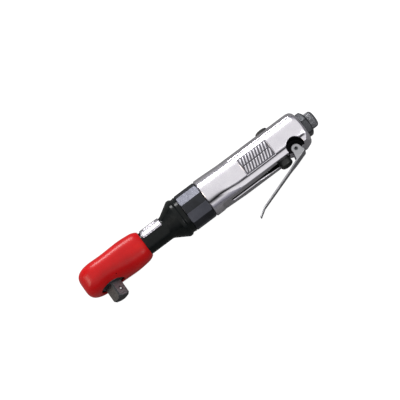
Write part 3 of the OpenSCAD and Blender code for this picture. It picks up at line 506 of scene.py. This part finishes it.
def new_object(name, points, faces):
    """A mesh object from points in millimetres about the centreline."""
    mesh = bpy.data.meshes.new(name)
    moved = (np.asarray(points, float) + np.array((0, AXIS_Y, 0))) * MM
    mesh.from_pydata([tuple(p) for p in moved], [], faces)
    mesh.update()
    piece = bpy.data.objects.new(name, mesh)
    bpy.context.scene.collection.objects.link(piece)
    return piece


def apply_modifiers(piece):
    """Replaces a piece's mesh with what its modifiers make of it."""
    bpy.context.view_layer.update()
    graph = bpy.context.evaluated_depsgraph_get()
    made = bpy.data.meshes.new_from_object(piece.evaluated_get(graph))
    piece.modifiers.clear()
    piece.data = made


def face_outwards(piece):
    """Turns every face of a closed piece outwards."""
    shape = bmesh.new()
    shape.from_mesh(piece.data)
    bmesh.ops.recalc_face_normals(shape, faces=shape.faces)
    shape.to_mesh(piece.data)
    shape.free()


SMOOTH_SHARE = 0.5
SNAP_ROUNDS = 3


def soften(piece, voxel, passes, *snaps):
    """Makes a closed piece into a fine even mesh with rounded edges.

    Each snap then pulls nearby points onto a true surface, so that faces stay smooth."""
    remesh = piece.modifiers.new("even", "REMESH")
    remesh.mode = "VOXEL"
    remesh.voxel_size = voxel * MM
    smooth = piece.modifiers.new("round", "SMOOTH")
    smooth.factor = SMOOTH_SHARE
    smooth.iterations = passes
    apply_modifiers(piece)
    points = coordinates(piece.data)
    for snap in snaps * SNAP_ROUNDS:
        points = snap(points)
    put_coordinates(piece.data, points)
    return piece


def softened(name, node, voxel, passes, *snaps):
    """A softened copy of a CAD node's solid."""
    piece = bpy.data.objects.new(name, NODES[node].data.copy())
    bpy.context.scene.collection.objects.link(piece)
    return soften(piece, voxel, passes, *snaps)


def rounded(corners, radius, steps=5):
    """A run of 2D points with its corners rounded, each by less than half of the shorter side."""
    most = 0.48
    found = [corners[0]]
    for previous, corner, following in zip(corners, corners[1:], corners[2:]):
        here = np.array(corner, float)
        before = np.array(previous, float) - here
        after = np.array(following, float) - here
        reach = min(radius, most * np.linalg.norm(before), most * np.linalg.norm(after))
        start = here + before / np.linalg.norm(before) * reach
        end = here + after / np.linalg.norm(after) * reach
        for k in range(steps + 1):
            t = k / steps
            found.append(tuple(start * (1 - t) ** 2 + here * 2 * t * (1 - t) + end * t ** 2))
    return found + [corners[-1]]


def divided(points, longest, closed=False):
    """The same run with no step longer than longest."""
    found = []
    pairs = list(zip(points, points[1:] + (points[:1] if closed else [])))
    for (a0, a1), (b0, b1) in pairs:
        parts = max(1, math.ceil(math.hypot(b0 - a0, b1 - a1) / longest))
        found += [(a0 + (b0 - a0) * k / parts, a1 + (b1 - a1) * k / parts) for k in range(parts)]
    return found if closed else found + [points[-1]]


def turned(name, loop, segments, radius=None, axis="x"):
    """A solid turned from a closed loop of (place, radius) points.

    radius(angle, place, radius) may change the radius round the turn. Angles run from +Z towards
    the drive side about X, and from +X towards +Z about Y."""
    place = np.array([p[0] for p in loop])[:, None]
    reach = np.array([p[1] for p in loop])[:, None]
    angle = np.linspace(0, 2 * math.pi, segments, endpoint=False)[None, :]
    full = reach + 0 * angle
    if radius:
        full = radius(angle + 0 * reach, place + 0 * angle, full)
    along = place + 0 * angle
    if axis == "x":
        points = np.stack((along, -full * np.sin(angle), full * np.cos(angle)), -1)
    else:
        points = np.stack((full * np.cos(angle), along, full * np.sin(angle)), -1)
    rings = len(loop)
    faces = [(i * segments + j, i * segments + (j + 1) % segments,
              (i + 1) % rings * segments + (j + 1) % segments, (i + 1) % rings * segments + j)
             for i in range(rings) for j in range(segments)]
    piece = new_object(name, points.reshape(-1, 3), faces)
    face_outwards(piece)
    return piece


def soft_min(first, second, blend):
    """The smaller of two lengths, with the change between them rounded over."""
    half = np.clip(0.5 + 0.5 * (second - first) / blend, 0, 1)
    return second * (1 - half) + first * half - blend * half * (1 - half)


def fade(distance, reach):
    """1 at no distance, 0 from reach outwards, smooth between."""
    return np.clip(1 - (distance / reach) ** 2, 0, 1) ** 2


def rise(distance, width):
    """0 up to no distance, 1 from width upwards, straight between."""
    return np.clip(distance / width, 0, 1)


def hump(distance, width, power=2):
    """1 at no distance, falling off smoothly to both sides."""
    return np.exp(-(distance / width) ** power)


def hexagon_radius(angle, apothem, tilt=0.0):
    """How far a hexagon's side stands from its axis at an angle."""
    return apothem / np.cos(np.mod(angle - tilt, math.pi / 3) - math.pi / 6)


def to_profile(profile, reach, side=None):
    """Snap onto a profile of (x, radius) points turned about the tool's axis.

    side(points) may limit the snap to a part of the shape."""
    ends = np.array(profile, float)

    def snap(points):
        radius = np.hypot(points[:, 1], points[:, 2])
        best = np.full(len(points), 1e9)
        goal = np.zeros((len(points), 2))
        here = np.stack((points[:, 0], radius), -1)
        for start, end in zip(ends, ends[1:]):
            step = end - start
            along = np.clip(((here - start) @ step) / max(step @ step, 1e-12), 0, 1)
            near = start + along[:, None] * step
            far = np.linalg.norm(here - near, axis=1)
            closer = far < best
            best[closer] = far[closer]
            goal[closer] = near[closer]
        weight = fade(best, reach)
        if side is not None:
            weight = weight * side(points)
        moved = here + (goal - here) * weight[:, None]
        scale = moved[:, 1] / np.maximum(radius, 1e-6)
        return np.stack((moved[:, 0], points[:, 1] * scale, points[:, 2] * scale), -1)
    return snap


def to_plane(axis, place, reach, side=None):
    """Snap onto a plane across one axis."""
    def snap(points):
        weight = fade(np.abs(points[:, axis] - place), reach)
        if side is not None:
            weight = weight * side(points)
        points = points.copy()
        points[:, axis] += (place - points[:, axis]) * weight
        return points
    return snap


# ---------------------------------------------------------------- ratchet case

NECK_R = 11.4
CASE_R = 19.5
BARREL_R = 18.3
CASE_FACE = node_span("clamp_nut", 0)[0]


def make_case():
    """Black forging: head, neck, cone and the bevelled shoulder in front of the nut."""
    neck_x0, cone_x0, cone_x1, rim_x0, rim_x1 = 46, 69.5, 81.9, 82.9, 85.5
    groove_x0, groove_x1, groove_deep = 87.2, 88.2, 1.4
    free_r = 13.5
    outline = rounded([(neck_x0, NECK_R), (cone_x0, NECK_R), (cone_x1, CASE_R - 0.6),
                       (rim_x0, CASE_R), (rim_x1, CASE_R), (groove_x0, CASE_R - groove_deep),
                       (groove_x1, CASE_R - groove_deep), (CASE_FACE - 0.2, CASE_R - 0.9)], 1.6)

    def behind_boot(points):
        return points[:, 0] > neck_x0 + 0.5

    def head_under_boot(points):
        return under_boot(points, free_r)
    piece = softened("ratchet_case", "ratchet_housing", 0.45, 4,
                     to_profile(outline, 0.7, behind_boot), head_under_boot)
    return finish_piece(piece, "ratchet_housing")


BOOT_BLUNT = 4.1
BOOT_BLUNT_SIDE = 2.5
BOOT_WALL = 0.92
BOOT_NOSE_R = 23.7
BOOT_REAR_R = 14.8
BOOT_EASED = 0.35
BOOT_DEEP_BACK = 14.9
BOOT_DEEP_DRIVE = 14.2
BOOT_SWELL, BOOT_SWELL_X, BOOT_SWELL_LONG = 1.1, 27, 12
BOOT_DIP, BOOT_DIP_X, BOOT_DIP_LONG = 0.35, 4, 8
BOOT_TAIL, BOOT_TAIL_IN, BOOT_TAIL_BEND = 9, 0.17, 2.6
BOOT_END = node_span("head_boot", 0)[1]


def boot_reach(points):
    """1 on the boot's outer surface, less inside it, for points given as x, y and z columns."""
    x, y, z = points.T
    ahead = np.clip(x / BOOT_END, 0, 1)
    ease = ahead * ahead * (3 - 2 * ahead)
    taper = BOOT_EASED * ease + (1 - BOOT_EASED) * ahead
    half_z = BOOT_NOSE_R + (BOOT_REAR_R - BOOT_NOSE_R) * taper
    deep = np.where(y > 0, BOOT_DEEP_BACK, BOOT_DEEP_DRIVE)
    swell = (BOOT_SWELL * hump(x - BOOT_SWELL_X, BOOT_SWELL_LONG)
             - BOOT_DIP * hump(x - BOOT_DIP_X, BOOT_DIP_LONG))
    half_y = deep + swell
    tail = rise(x - (BOOT_END - BOOT_TAIL), BOOT_TAIL)
    shrink = 1 - BOOT_TAIL_IN * tail ** BOOT_TAIL_BEND
    nose = np.where(x < 0, x * x / np.maximum(x * x + z * z, 1e-9), 0)
    blunt = BOOT_BLUNT_SIDE + (BOOT_BLUNT - BOOT_BLUNT_SIDE) * nose
    plan = np.where(x < 0, np.hypot(x, z) / BOOT_NOSE_R, np.abs(z) / half_z)
    return (plan ** blunt + (np.abs(y) / half_y) ** blunt) ** (1 / blunt) / shrink


def under_boot(points, beyond=0.0):
    """Draws points that stand further from the drive's axis than beyond in under the boot's skin."""
    reach = boot_reach(points)
    scale = np.where((reach > BOOT_WALL) & (points[:, 0] < BOOT_END)
                     & (np.hypot(points[:, 0], points[:, 2]) > beyond), BOOT_WALL / reach, 1)
    moved = points * scale[:, None]
    moved[:, 0] = np.where(points[:, 0] < 0, moved[:, 0], points[:, 0])
    return moved


def boot_form():
    """Outer shape of the boot as a closed grid of rings from its nose to its rear end."""
    around, nose_rings, body_rings = 144, 36, 60
    turn = np.linspace(0, 2 * math.pi, around, endpoint=False)
    rings = []
    for k in range(1, nose_rings + 1):
        lean = math.pi / 2 * k / nose_rings
        rings.append(np.stack((np.full(around, -math.cos(lean)), math.sin(lean) * np.sin(turn),
                               math.sin(lean) * np.cos(turn)), -1))
    for k in range(1, body_rings + 1):
        rings.append(np.stack((np.full(around, BOOT_END * k / body_rings), np.sin(turn),
                               np.cos(turn)), -1))
    shaped = []
    for ring in rings:
        if ring[0, 0] <= 1e-9:
            shaped.append(ring / boot_reach(ring)[:, None])
        else:
            scaled = ring.copy()
            scaled[:, 1:] /= boot_reach(ring)[:, None]
            shaped.append(scaled)
    points = np.concatenate(shaped + [[[-BOOT_NOSE_R, 0, 0], [BOOT_END, 0, 0]]])
    last = len(shaped) - 1
    nose, tail = len(points) - 2, len(points) - 1
    faces = [(i * around + j, i * around + (j + 1) % around, (i + 1) * around + (j + 1) % around,
              (i + 1) * around + j) for i in range(last) for j in range(around)]
    faces += [(nose, (j + 1) % around, j) for j in range(around)]
    faces += [(tail, last * around + j, last * around + (j + 1) % around) for j in range(around)]
    piece = new_object("boot", points, faces)
    face_outwards(piece)
    return piece


def make_boot():
    """Red moulded boot over the head, open round the drive and the reverse knob."""
    head_r, front, back, neck_r = 20.65, -11.25, 11.65, NECK_R + 0.05
    open_r, knob_hole_r, thin, far = 12.1, 10.9, 0.02, 40.0
    taper_r, taper_x0, taper_x1, taper_x2 = 19.45, 5, 9, 43
    skin_reach, lip, lip_fade, rear_edge = 0.045, 0.5, 1.5, 1.2
    piece = boot_form()
    head = turned("head_cutter", divided([(-far, thin), (-far, open_r), (front, open_r),
                                          (front, head_r), (back, head_r), (back, knob_hole_r),
                                          (far, knob_hole_r), (far, thin)], 1.2, True),
                  144, axis="y")
    put_coordinates(head.data, under_boot(coordinates(head.data), open_r + 0.1))

    def flattened(angle, place, reach):
        side = np.where(np.sin(angle) > 0, -front, back) / np.maximum(np.abs(np.sin(angle)), 1e-6)
        return np.minimum(reach, np.where(place < far + 1, side, reach))
    taper = turned("taper_cutter", divided([(taper_x0, thin), (taper_x0, taper_r),
                                            (taper_x1, taper_r), (taper_x2, neck_r),
                                            (far * 2, neck_r), (far * 2, thin)], 2.0),
                   96, flattened)
    for cutter in (head, taper):
        cut = piece.modifiers.new("cut", "BOOLEAN")
        cut.operation = "DIFFERENCE"
        cut.solver = "EXACT"
        cut.object = cutter
    apply_modifiers(piece)
    bpy.data.objects.remove(head)
    bpy.data.objects.remove(taper)

    def onto_form(points):
        """Pulls the skin onto its form, away from the openings' lips and the rear edge."""
        reach = boot_reach(points)
        hole_r = np.where(points[:, 1] < 0, open_r, knob_hole_r)
        from_hole = np.hypot(points[:, 0], points[:, 2]) - hole_r
        weight = fade(np.abs(reach - 1), skin_reach) * rise(from_hole - lip, lip_fade)
        weight *= rise(BOOT_END - rear_edge - points[:, 0], 1.0)
        scale = 1 + (1 / reach - 1) * weight
        moved = points.copy()
        moved[:, 1] *= scale
        moved[:, 2] *= scale
        ahead = points[:, 0] < 0
        moved[ahead, 0] *= scale[ahead]
        return moved
    soften(piece, 0.55, 5, onto_form)
    return finish_piece(piece, "head_boot")


def make_data_plate():
    """Bright plate on the neck, bent round it, with rounded corners and a fine frame line."""
    x0, x1 = node_span("data_plate", 0)
    inner, outer = NECK_R - 0.1, 12.45
    start, sweep = math.radians(-82), math.radians(76)
    across, along, corner, edge_round = 72, 84, 1.6, 0.45
    width, length = sweep * outer, x1 - x0
    frame_in, frame_half, frame_deep = 0.9, 0.22, 0.4
    row_places, row_half, row_deep, row_in = (0.42, 0.6), 0.5, 0.5, 4

    def height(u, v):
        """Height over the neck at a place on the plate, from 0 to 1."""
        side = np.minimum(u, width - u)
        end = np.minimum(v, length - v)
        edge = np.minimum(side, end)
        round_off = np.hypot(np.maximum(corner - side, 0), np.maximum(corner - end, 0))
        edge = np.where((side < corner) & (end < corner), corner - round_off, edge)
        dome = rise(edge, edge_round)
        line = frame_deep * hump(edge - frame_in, frame_half)
        for row in row_places:
            line = line + row_deep * hump(u - row * width, row_half) * rise(end - row_in, 0.5)
        return np.sqrt(np.clip(1 - (1 - dome) ** 2, 0, 1)) - line
    piece = curved_plate("neck_plate", (x0, x1), inner, outer, start, sweep, across, along, height)
    return finish_piece(piece, "data_plate")


PLATE_SUNK = 0.05
RECESS_BELOW, RECESS_FADE, RECESS_RIM = 0.75, 0.4, 0.3


def curved_plate(name, x_range, inner, outer, start, sweep, across, along, height):
    """A closed plate bent round the tool's axis; height(u, v) shapes its outer face.

    Its "recess" attribute is 1 where that face is low, apart from the plate's rim."""
    u = np.linspace(0, sweep * outer, across + 1)[:, None]
    v = np.linspace(0, x_range[1] - x_range[0], along + 1)[None, :]
    high = inner + (outer - inner) * height(u + 0 * v, v + 0 * u)
    low = np.full_like(high, inner - PLATE_SUNK)
    angle = start + u / outer + 0 * v
    x = x_range[0] + v + 0 * u
    layers = [np.stack((x, -r * np.sin(angle), r * np.cos(angle)), -1) for r in (high, low)]
    columns = along + 1
    total = (across + 1) * columns

    def at(layer, i, j):
        return layer * total + i * columns + j
    faces = []
    for i in range(across):
        for j in range(along):
            faces.append((at(0, i, j), at(0, i + 1, j), at(0, i + 1, j + 1), at(0, i, j + 1)))
            faces.append((at(1, i, j), at(1, i, j + 1), at(1, i + 1, j + 1), at(1, i + 1, j)))
    rim = ([(i, 0) for i in range(across)] + [(across, j) for j in range(along)]
           + [(i, along) for i in range(across, 0, -1)] + [(0, j) for j in range(along, 0, -1)])
    for (i0, j0), (i1, j1) in zip(rim, rim[1:] + rim[:1]):
        faces.append((at(0, i0, j0), at(0, i1, j1), at(1, i1, j1), at(1, i0, j0)))
    piece = new_object(name, np.concatenate([l.reshape(-1, 3) for l in layers]), faces)
    face_outwards(piece)
    edge = np.minimum(np.minimum(u, u[-1] - u), np.minimum(v, v[0, -1] - v))
    sunk = rise(RECESS_BELOW - height(u + 0 * v, v + 0 * u), RECESS_FADE)
    sunk *= np.clip(edge / RECESS_RIM - 1, 0, 1)
    recess = piece.data.attributes.new("recess", "FLOAT", "POINT")
    recess.data.foreach_set("value", np.concatenate((sunk.ravel(), 0 * sunk.ravel())))
    return piece


# ---------------------------------------------------------------- drive and reverse knob

def make_drive():
    """Anvil with its collar and square, edges eased."""
    piece = softened("square_drive", "drive_anvil", 0.3, 3,
                     to_plane(1, node_span("drive_anvil", 1)[0], 0.25))
    return finish_piece(piece, "drive_anvil")


def make_knob():
    """Reverse knob with its scalloped rim."""
    return finish_piece(softened("reverse_dial", "reverse_knob", 0.25, 3), "reverse_knob")


# ---------------------------------------------------------------- clamp nut

def make_nut():
    """Hexagon nut: satin flats, and corners turned round and left black."""
    x0, x1 = node_span("clamp_nut", 0)
    apothem, tilt, corner_r, bevel = 36.3 / 2, math.radians(7), 18.9, 0.45
    front_bore, rear_bore, step_x = 16.05, 16.95, 96.2
    chamfer, lip_r = 1.1, rear_bore + 0.3

    def hexagon(angle, place, reach):
        ease = bevel * np.clip(1 - np.minimum(place - x0, x1 - place) / bevel, 0, 1) ** 2
        flat = hexagon_radius(angle, apothem, tilt) - ease
        return np.where(reach > rear_bore + 0.2, soft_min(flat, reach, 0.12), reach)
    outer = rounded([(x0, lip_r), (x0, corner_r - chamfer), (x0 + chamfer, corner_r),
                     (x1 - chamfer, corner_r), (x1, corner_r - chamfer), (x1, lip_r)], 0.5)
    loop = divided(outer, 0.8) + divided([(x1, rear_bore), (step_x, rear_bore),
                                          (step_x, front_bore), (x0, front_bore)], 2.0)
    piece = turned("nut", loop, 360, hexagon)
    centres = np.array([p.center for p in piece.data.polygons]) / MM
    centres[:, 1] -= AXIS_Y
    reach = np.hypot(centres[:, 1], centres[:, 2])
    angle = np.arctan2(-centres[:, 1], centres[:, 2])
    flat = hexagon_radius(angle, apothem, tilt)
    end = np.minimum(centres[:, 0] - x0, x1 - centres[:, 0])
    on_flat = (reach > flat - 0.25) & (flat < corner_r - 0.02) & (end > bevel)
    piece.data.polygons.foreach_set("material_index", np.where(on_flat, 0, 1))
    return finish_piece(piece, "clamp_nut", [PAINTS["nut_finish"], NUT_CORNER])


# ---------------------------------------------------------------- motor housing

def make_housing():
    """Polished alloy housing with its lever rails; its channel, the recesses round the lever's ears and
    the rail creases get painted shade.
    """
    x0, x1 = node_span("clamp_nut", 0)[1] + 0.1, node_span("motor_housing", 0)[1]
    flare_x0, flare_x1, taper_x1, shoulder_r, front_r = 123, 148, 140, 19.3, 19.1
    rail_half, rail_flare, rail_d, limit_r = 14.4, 1.9, 16.6, 21.4
    crease_x0, crease_x1, crease_half, crease_more, crease_deep = 120, 136, 0.6, 0.7, 0.45
    slot_x, slot_halves, channel_x0, channel_x1 = (165, 181), (3.8, 6.9), 131, 200
    ear_x, ear_y, ear_r, ear_half, blur = 206.8, -15.3, 8.9, 5.5, 0.3
    barrel = rounded([(x0, 18.6), (x0 + 0.7, shoulder_r), (flare_x0, front_r), (taper_x1, BARREL_R),
                      (x1 - 5, BARREL_R), (x1 - 1.5, BARREL_R - 1.5), (x1, BARREL_R - 5),
                      (x1, 9)], 3.5, 8)
    rails = [(flare_x0, shoulder_r), (flare_x1, limit_r), (x1 - 6.5, limit_r)]

    def skin_z(x, y):
        """How far to the sides the housing's own skin stands at the lever's ears."""
        barrel_z = np.sqrt(np.maximum(BARREL_R ** 2 - y ** 2, 0))
        return np.maximum(barrel_z, np.where(y < -10, rail_half, 0)) - 0.3

    def behind_flare(points):
        return ((points[:, 0] > flare_x1 + 1) & (points[:, 0] < x1 - 6)).astype(float)

    def drive_side(points):
        return rise(-points[:, 1] - 9, 2)

    def back_side(points):
        return rise(points[:, 1] + 11, 2)
    piece = softened("motor_case", "motor_housing", 0.5, 3,
                     to_profile(barrel, 0.45, back_side),
                     to_profile(rails, 0.3, drive_side),
                     to_plane(2, rail_half, 0.35, behind_flare),
                     to_plane(2, -rail_half, 0.35, behind_flare),
                     to_plane(1, -rail_d, 0.3))
    points = coordinates(piece.data)
    x, y, z = points.T
    radius = np.hypot(y, z)
    flare = rise(x - flare_x0, flare_x1 - flare_x0)
    half = rail_half + rail_flare * (1 + np.cos(math.pi * flare)) / 2
    barrel_r = BARREL_R + (front_r - BARREL_R) * rise(taper_x1 - x, taper_x1 - flare_x0)
    wide = crease_half + crease_more * rise(crease_x1 - x, crease_x1 - crease_x0)
    crease = hump(np.hypot(np.abs(z) - half, radius - barrel_r), wide)
    crease *= rise(x1 - 2 - x, 4) * (y < 0)
    groove = 1 - crease_deep * crease / radius
    put_coordinates(piece.data, np.stack((x, y * groove, z * groove), -1))
    slot_half = np.interp(x, slot_x, slot_halves)
    channel = (rise(slot_half + 0.5 - np.abs(z), blur) * rise(y + rail_d - 0.5, 0.5)
               * (y < 0) * (x > channel_x0) * (x < channel_x1))
    ears = (rise(ear_r - np.hypot(x - ear_x, y - ear_y), blur) * rise(np.abs(z) - ear_half, blur)
            * rise(skin_z(x, y) - np.abs(z), 0.4))
    # Painted shade: the channel, the ear recesses and the rail creases are marked to be painted dark
    # where shade and dark reflections fall.
    unpolished = np.maximum(np.maximum(channel, ears), crease)
    shade_layer = piece.data.attributes.new("unpolished", "FLOAT", "POINT")
    shade_layer.data.foreach_set("value", unpolished.astype(np.float32))
    return finish_piece(piece, "motor_housing")


def make_badge():
    """Raised plate with a border and a plain pattern of slanted ribs."""
    x0, x1 = node_span("badge", 0)
    inner, outer = BARREL_R - 0.05, 18.8
    start, sweep = math.radians(-21), math.radians(58)
    width, length = sweep * outer, x1 - x0
    border, frame_in, frame_half, pitch, slant = 1.1, 0.55, 0.32, 3.0, 0.35
    floor_height, rib_height = 0.25, 0.9

    def height(u, v):
        edge = np.minimum(np.minimum(u, width - u), np.minimum(v, length - v))
        frame_line = hump(edge - frame_in, frame_half, 4)
        field = rise(edge - border - 0.7, 0.3)
        wave = (v + slant * u) / pitch
        rib = np.clip(0.95 - np.abs(np.mod(wave, 1) - 0.5) * 3.0, 0, 0.5) / 0.5
        band = rise(np.abs(u - width / 2) - 0.5, 0.3)
        relief = np.maximum(frame_line, field * rib * band * rib_height)
        return floor_height + (1 - floor_height) * relief
    piece = curved_plate("grip_badge", (x0, x1), inner, outer, start, sweep, 150, 240, height)
    return finish_piece(piece, "badge")


# ---------------------------------------------------------------- throttle

def make_throttle():
    """Lever, its button and the plug over the valve."""
    finish_piece(softened("squeeze_lever", "throttle_lever", 0.28, 3), "throttle_lever")
    finish_piece(softened("button", "throttle_button", 0.25, 3), "throttle_button")
    finish_piece(softened("valve_plug", "valve_cap", 0.25, 2), "valve_cap",
                 [PAINTS["black_plastic"]])
    finish_piece(softened("pivot_pin", "lever_pin", 0.16, 2), "lever_pin")


# ---------------------------------------------------------------- air inlet

def make_inlet():
    """Inlet bushing: hexagon, finely serrated end, and a real thread down its bore."""
    x0, x1 = node_span("inlet_bushing", 0)
    hex_x0 = node_span("motor_housing", 0)[1]
    hex_x1 = hex_x0 + 6.6
    apothem, corner_r, end_r, shank_r = 11.2, 12.55, 8.1, 8.15
    thread_r, neck_r, thread_x0, pitch = 5.72, 4.6, x1 - 16, 1.411
    serrations, serration_deep, thread_deep, hex_edge = 36, 0.34, 0.42, 0.35
    hex_inner_r, teeth_inner_r = 9, 6.8

    def shape(angle, place, reach):
        from_end = np.minimum(place - hex_x0, hex_x1 - place)
        ease = hex_edge * np.clip(1 - from_end / hex_edge, 0, 1) ** 2
        on_hex = (place > hex_x0 - 0.01) & (place < hex_x1 + 0.01) & (reach > hex_inner_r)
        hex_r = hexagon_radius(angle, apothem) - ease
        found = np.where(on_hex, soft_min(hex_r, reach, 0.2), reach)
        groove = serration_deep * np.clip(np.cos(angle * serrations), 0, 1) ** 1.5
        on_teeth = (place > hex_x1 + 0.5) & (reach > teeth_inner_r)
        found = np.where(on_teeth, found - groove, found)
        wave = np.abs(np.mod(place / pitch - angle / (2 * math.pi), 1) - 0.5) * 2
        on_thread = (place > thread_x0 + 0.3) & (place < x1 - 0.7) & (reach < thread_r + 0.1)
        return np.where(on_thread, found - thread_deep * np.clip(wave * 1.5 - 0.25, 0, 1), found)
    outer = rounded([(x0, neck_r), (x0, shank_r), (hex_x0 - 0.6, shank_r), (hex_x0, shank_r + 0.4),
                     (hex_x0, corner_r - 0.8), (hex_x0 + 0.9, corner_r), (hex_x1 - 2, corner_r),
                     (hex_x1, 9.7), (hex_x1, end_r + 0.1), (hex_x1 + 0.5, end_r),
                     (x1 - 2, end_r), (x1 - 0.7, end_r - 0.6), (x1, end_r - 1.5),
                     (x1, thread_r + 0.7), (x1 - 0.7, thread_r)], 0.35, 4)
    bore = divided([(x1 - 0.8, thread_r), (thread_x0 + 0.1, thread_r)], 0.16)
    loop = divided(outer, 0.9) + bore + [(thread_x0, thread_r - 0.2), (thread_x0, neck_r)]
    piece = turned("inlet", loop, 8 * serrations, shape)
    middles = np.array([p.center.x for p in piece.data.polygons]) / MM
    piece.data.polygons.foreach_set("material_index", np.where(middles < hex_x1 + 0.4, 1, 0))
    return finish_piece(piece, "inlet_bushing", [PAINTS["bushing_steel"], OXIDE])


# ---------------------------------------------------------------- the whole tool

def paint_cad_nodes():
    """Gives the CAD nodes that stay in view their finishes."""
    for obj in NODES.values():
        obj.material_slots[0].material = PAINTS[slot_of(obj.name)]


make_camera()
make_world()
make_floor()
for light_values in LIGHTS:
    area_light(*light_values)
bpy.context.scene.view_settings.view_transform = "Standard"
make_case()
make_boot()
make_data_plate()
make_drive()
make_knob()
make_nut()
make_housing()
make_badge()
make_throttle()
make_inlet()
paint_cad_nodes()
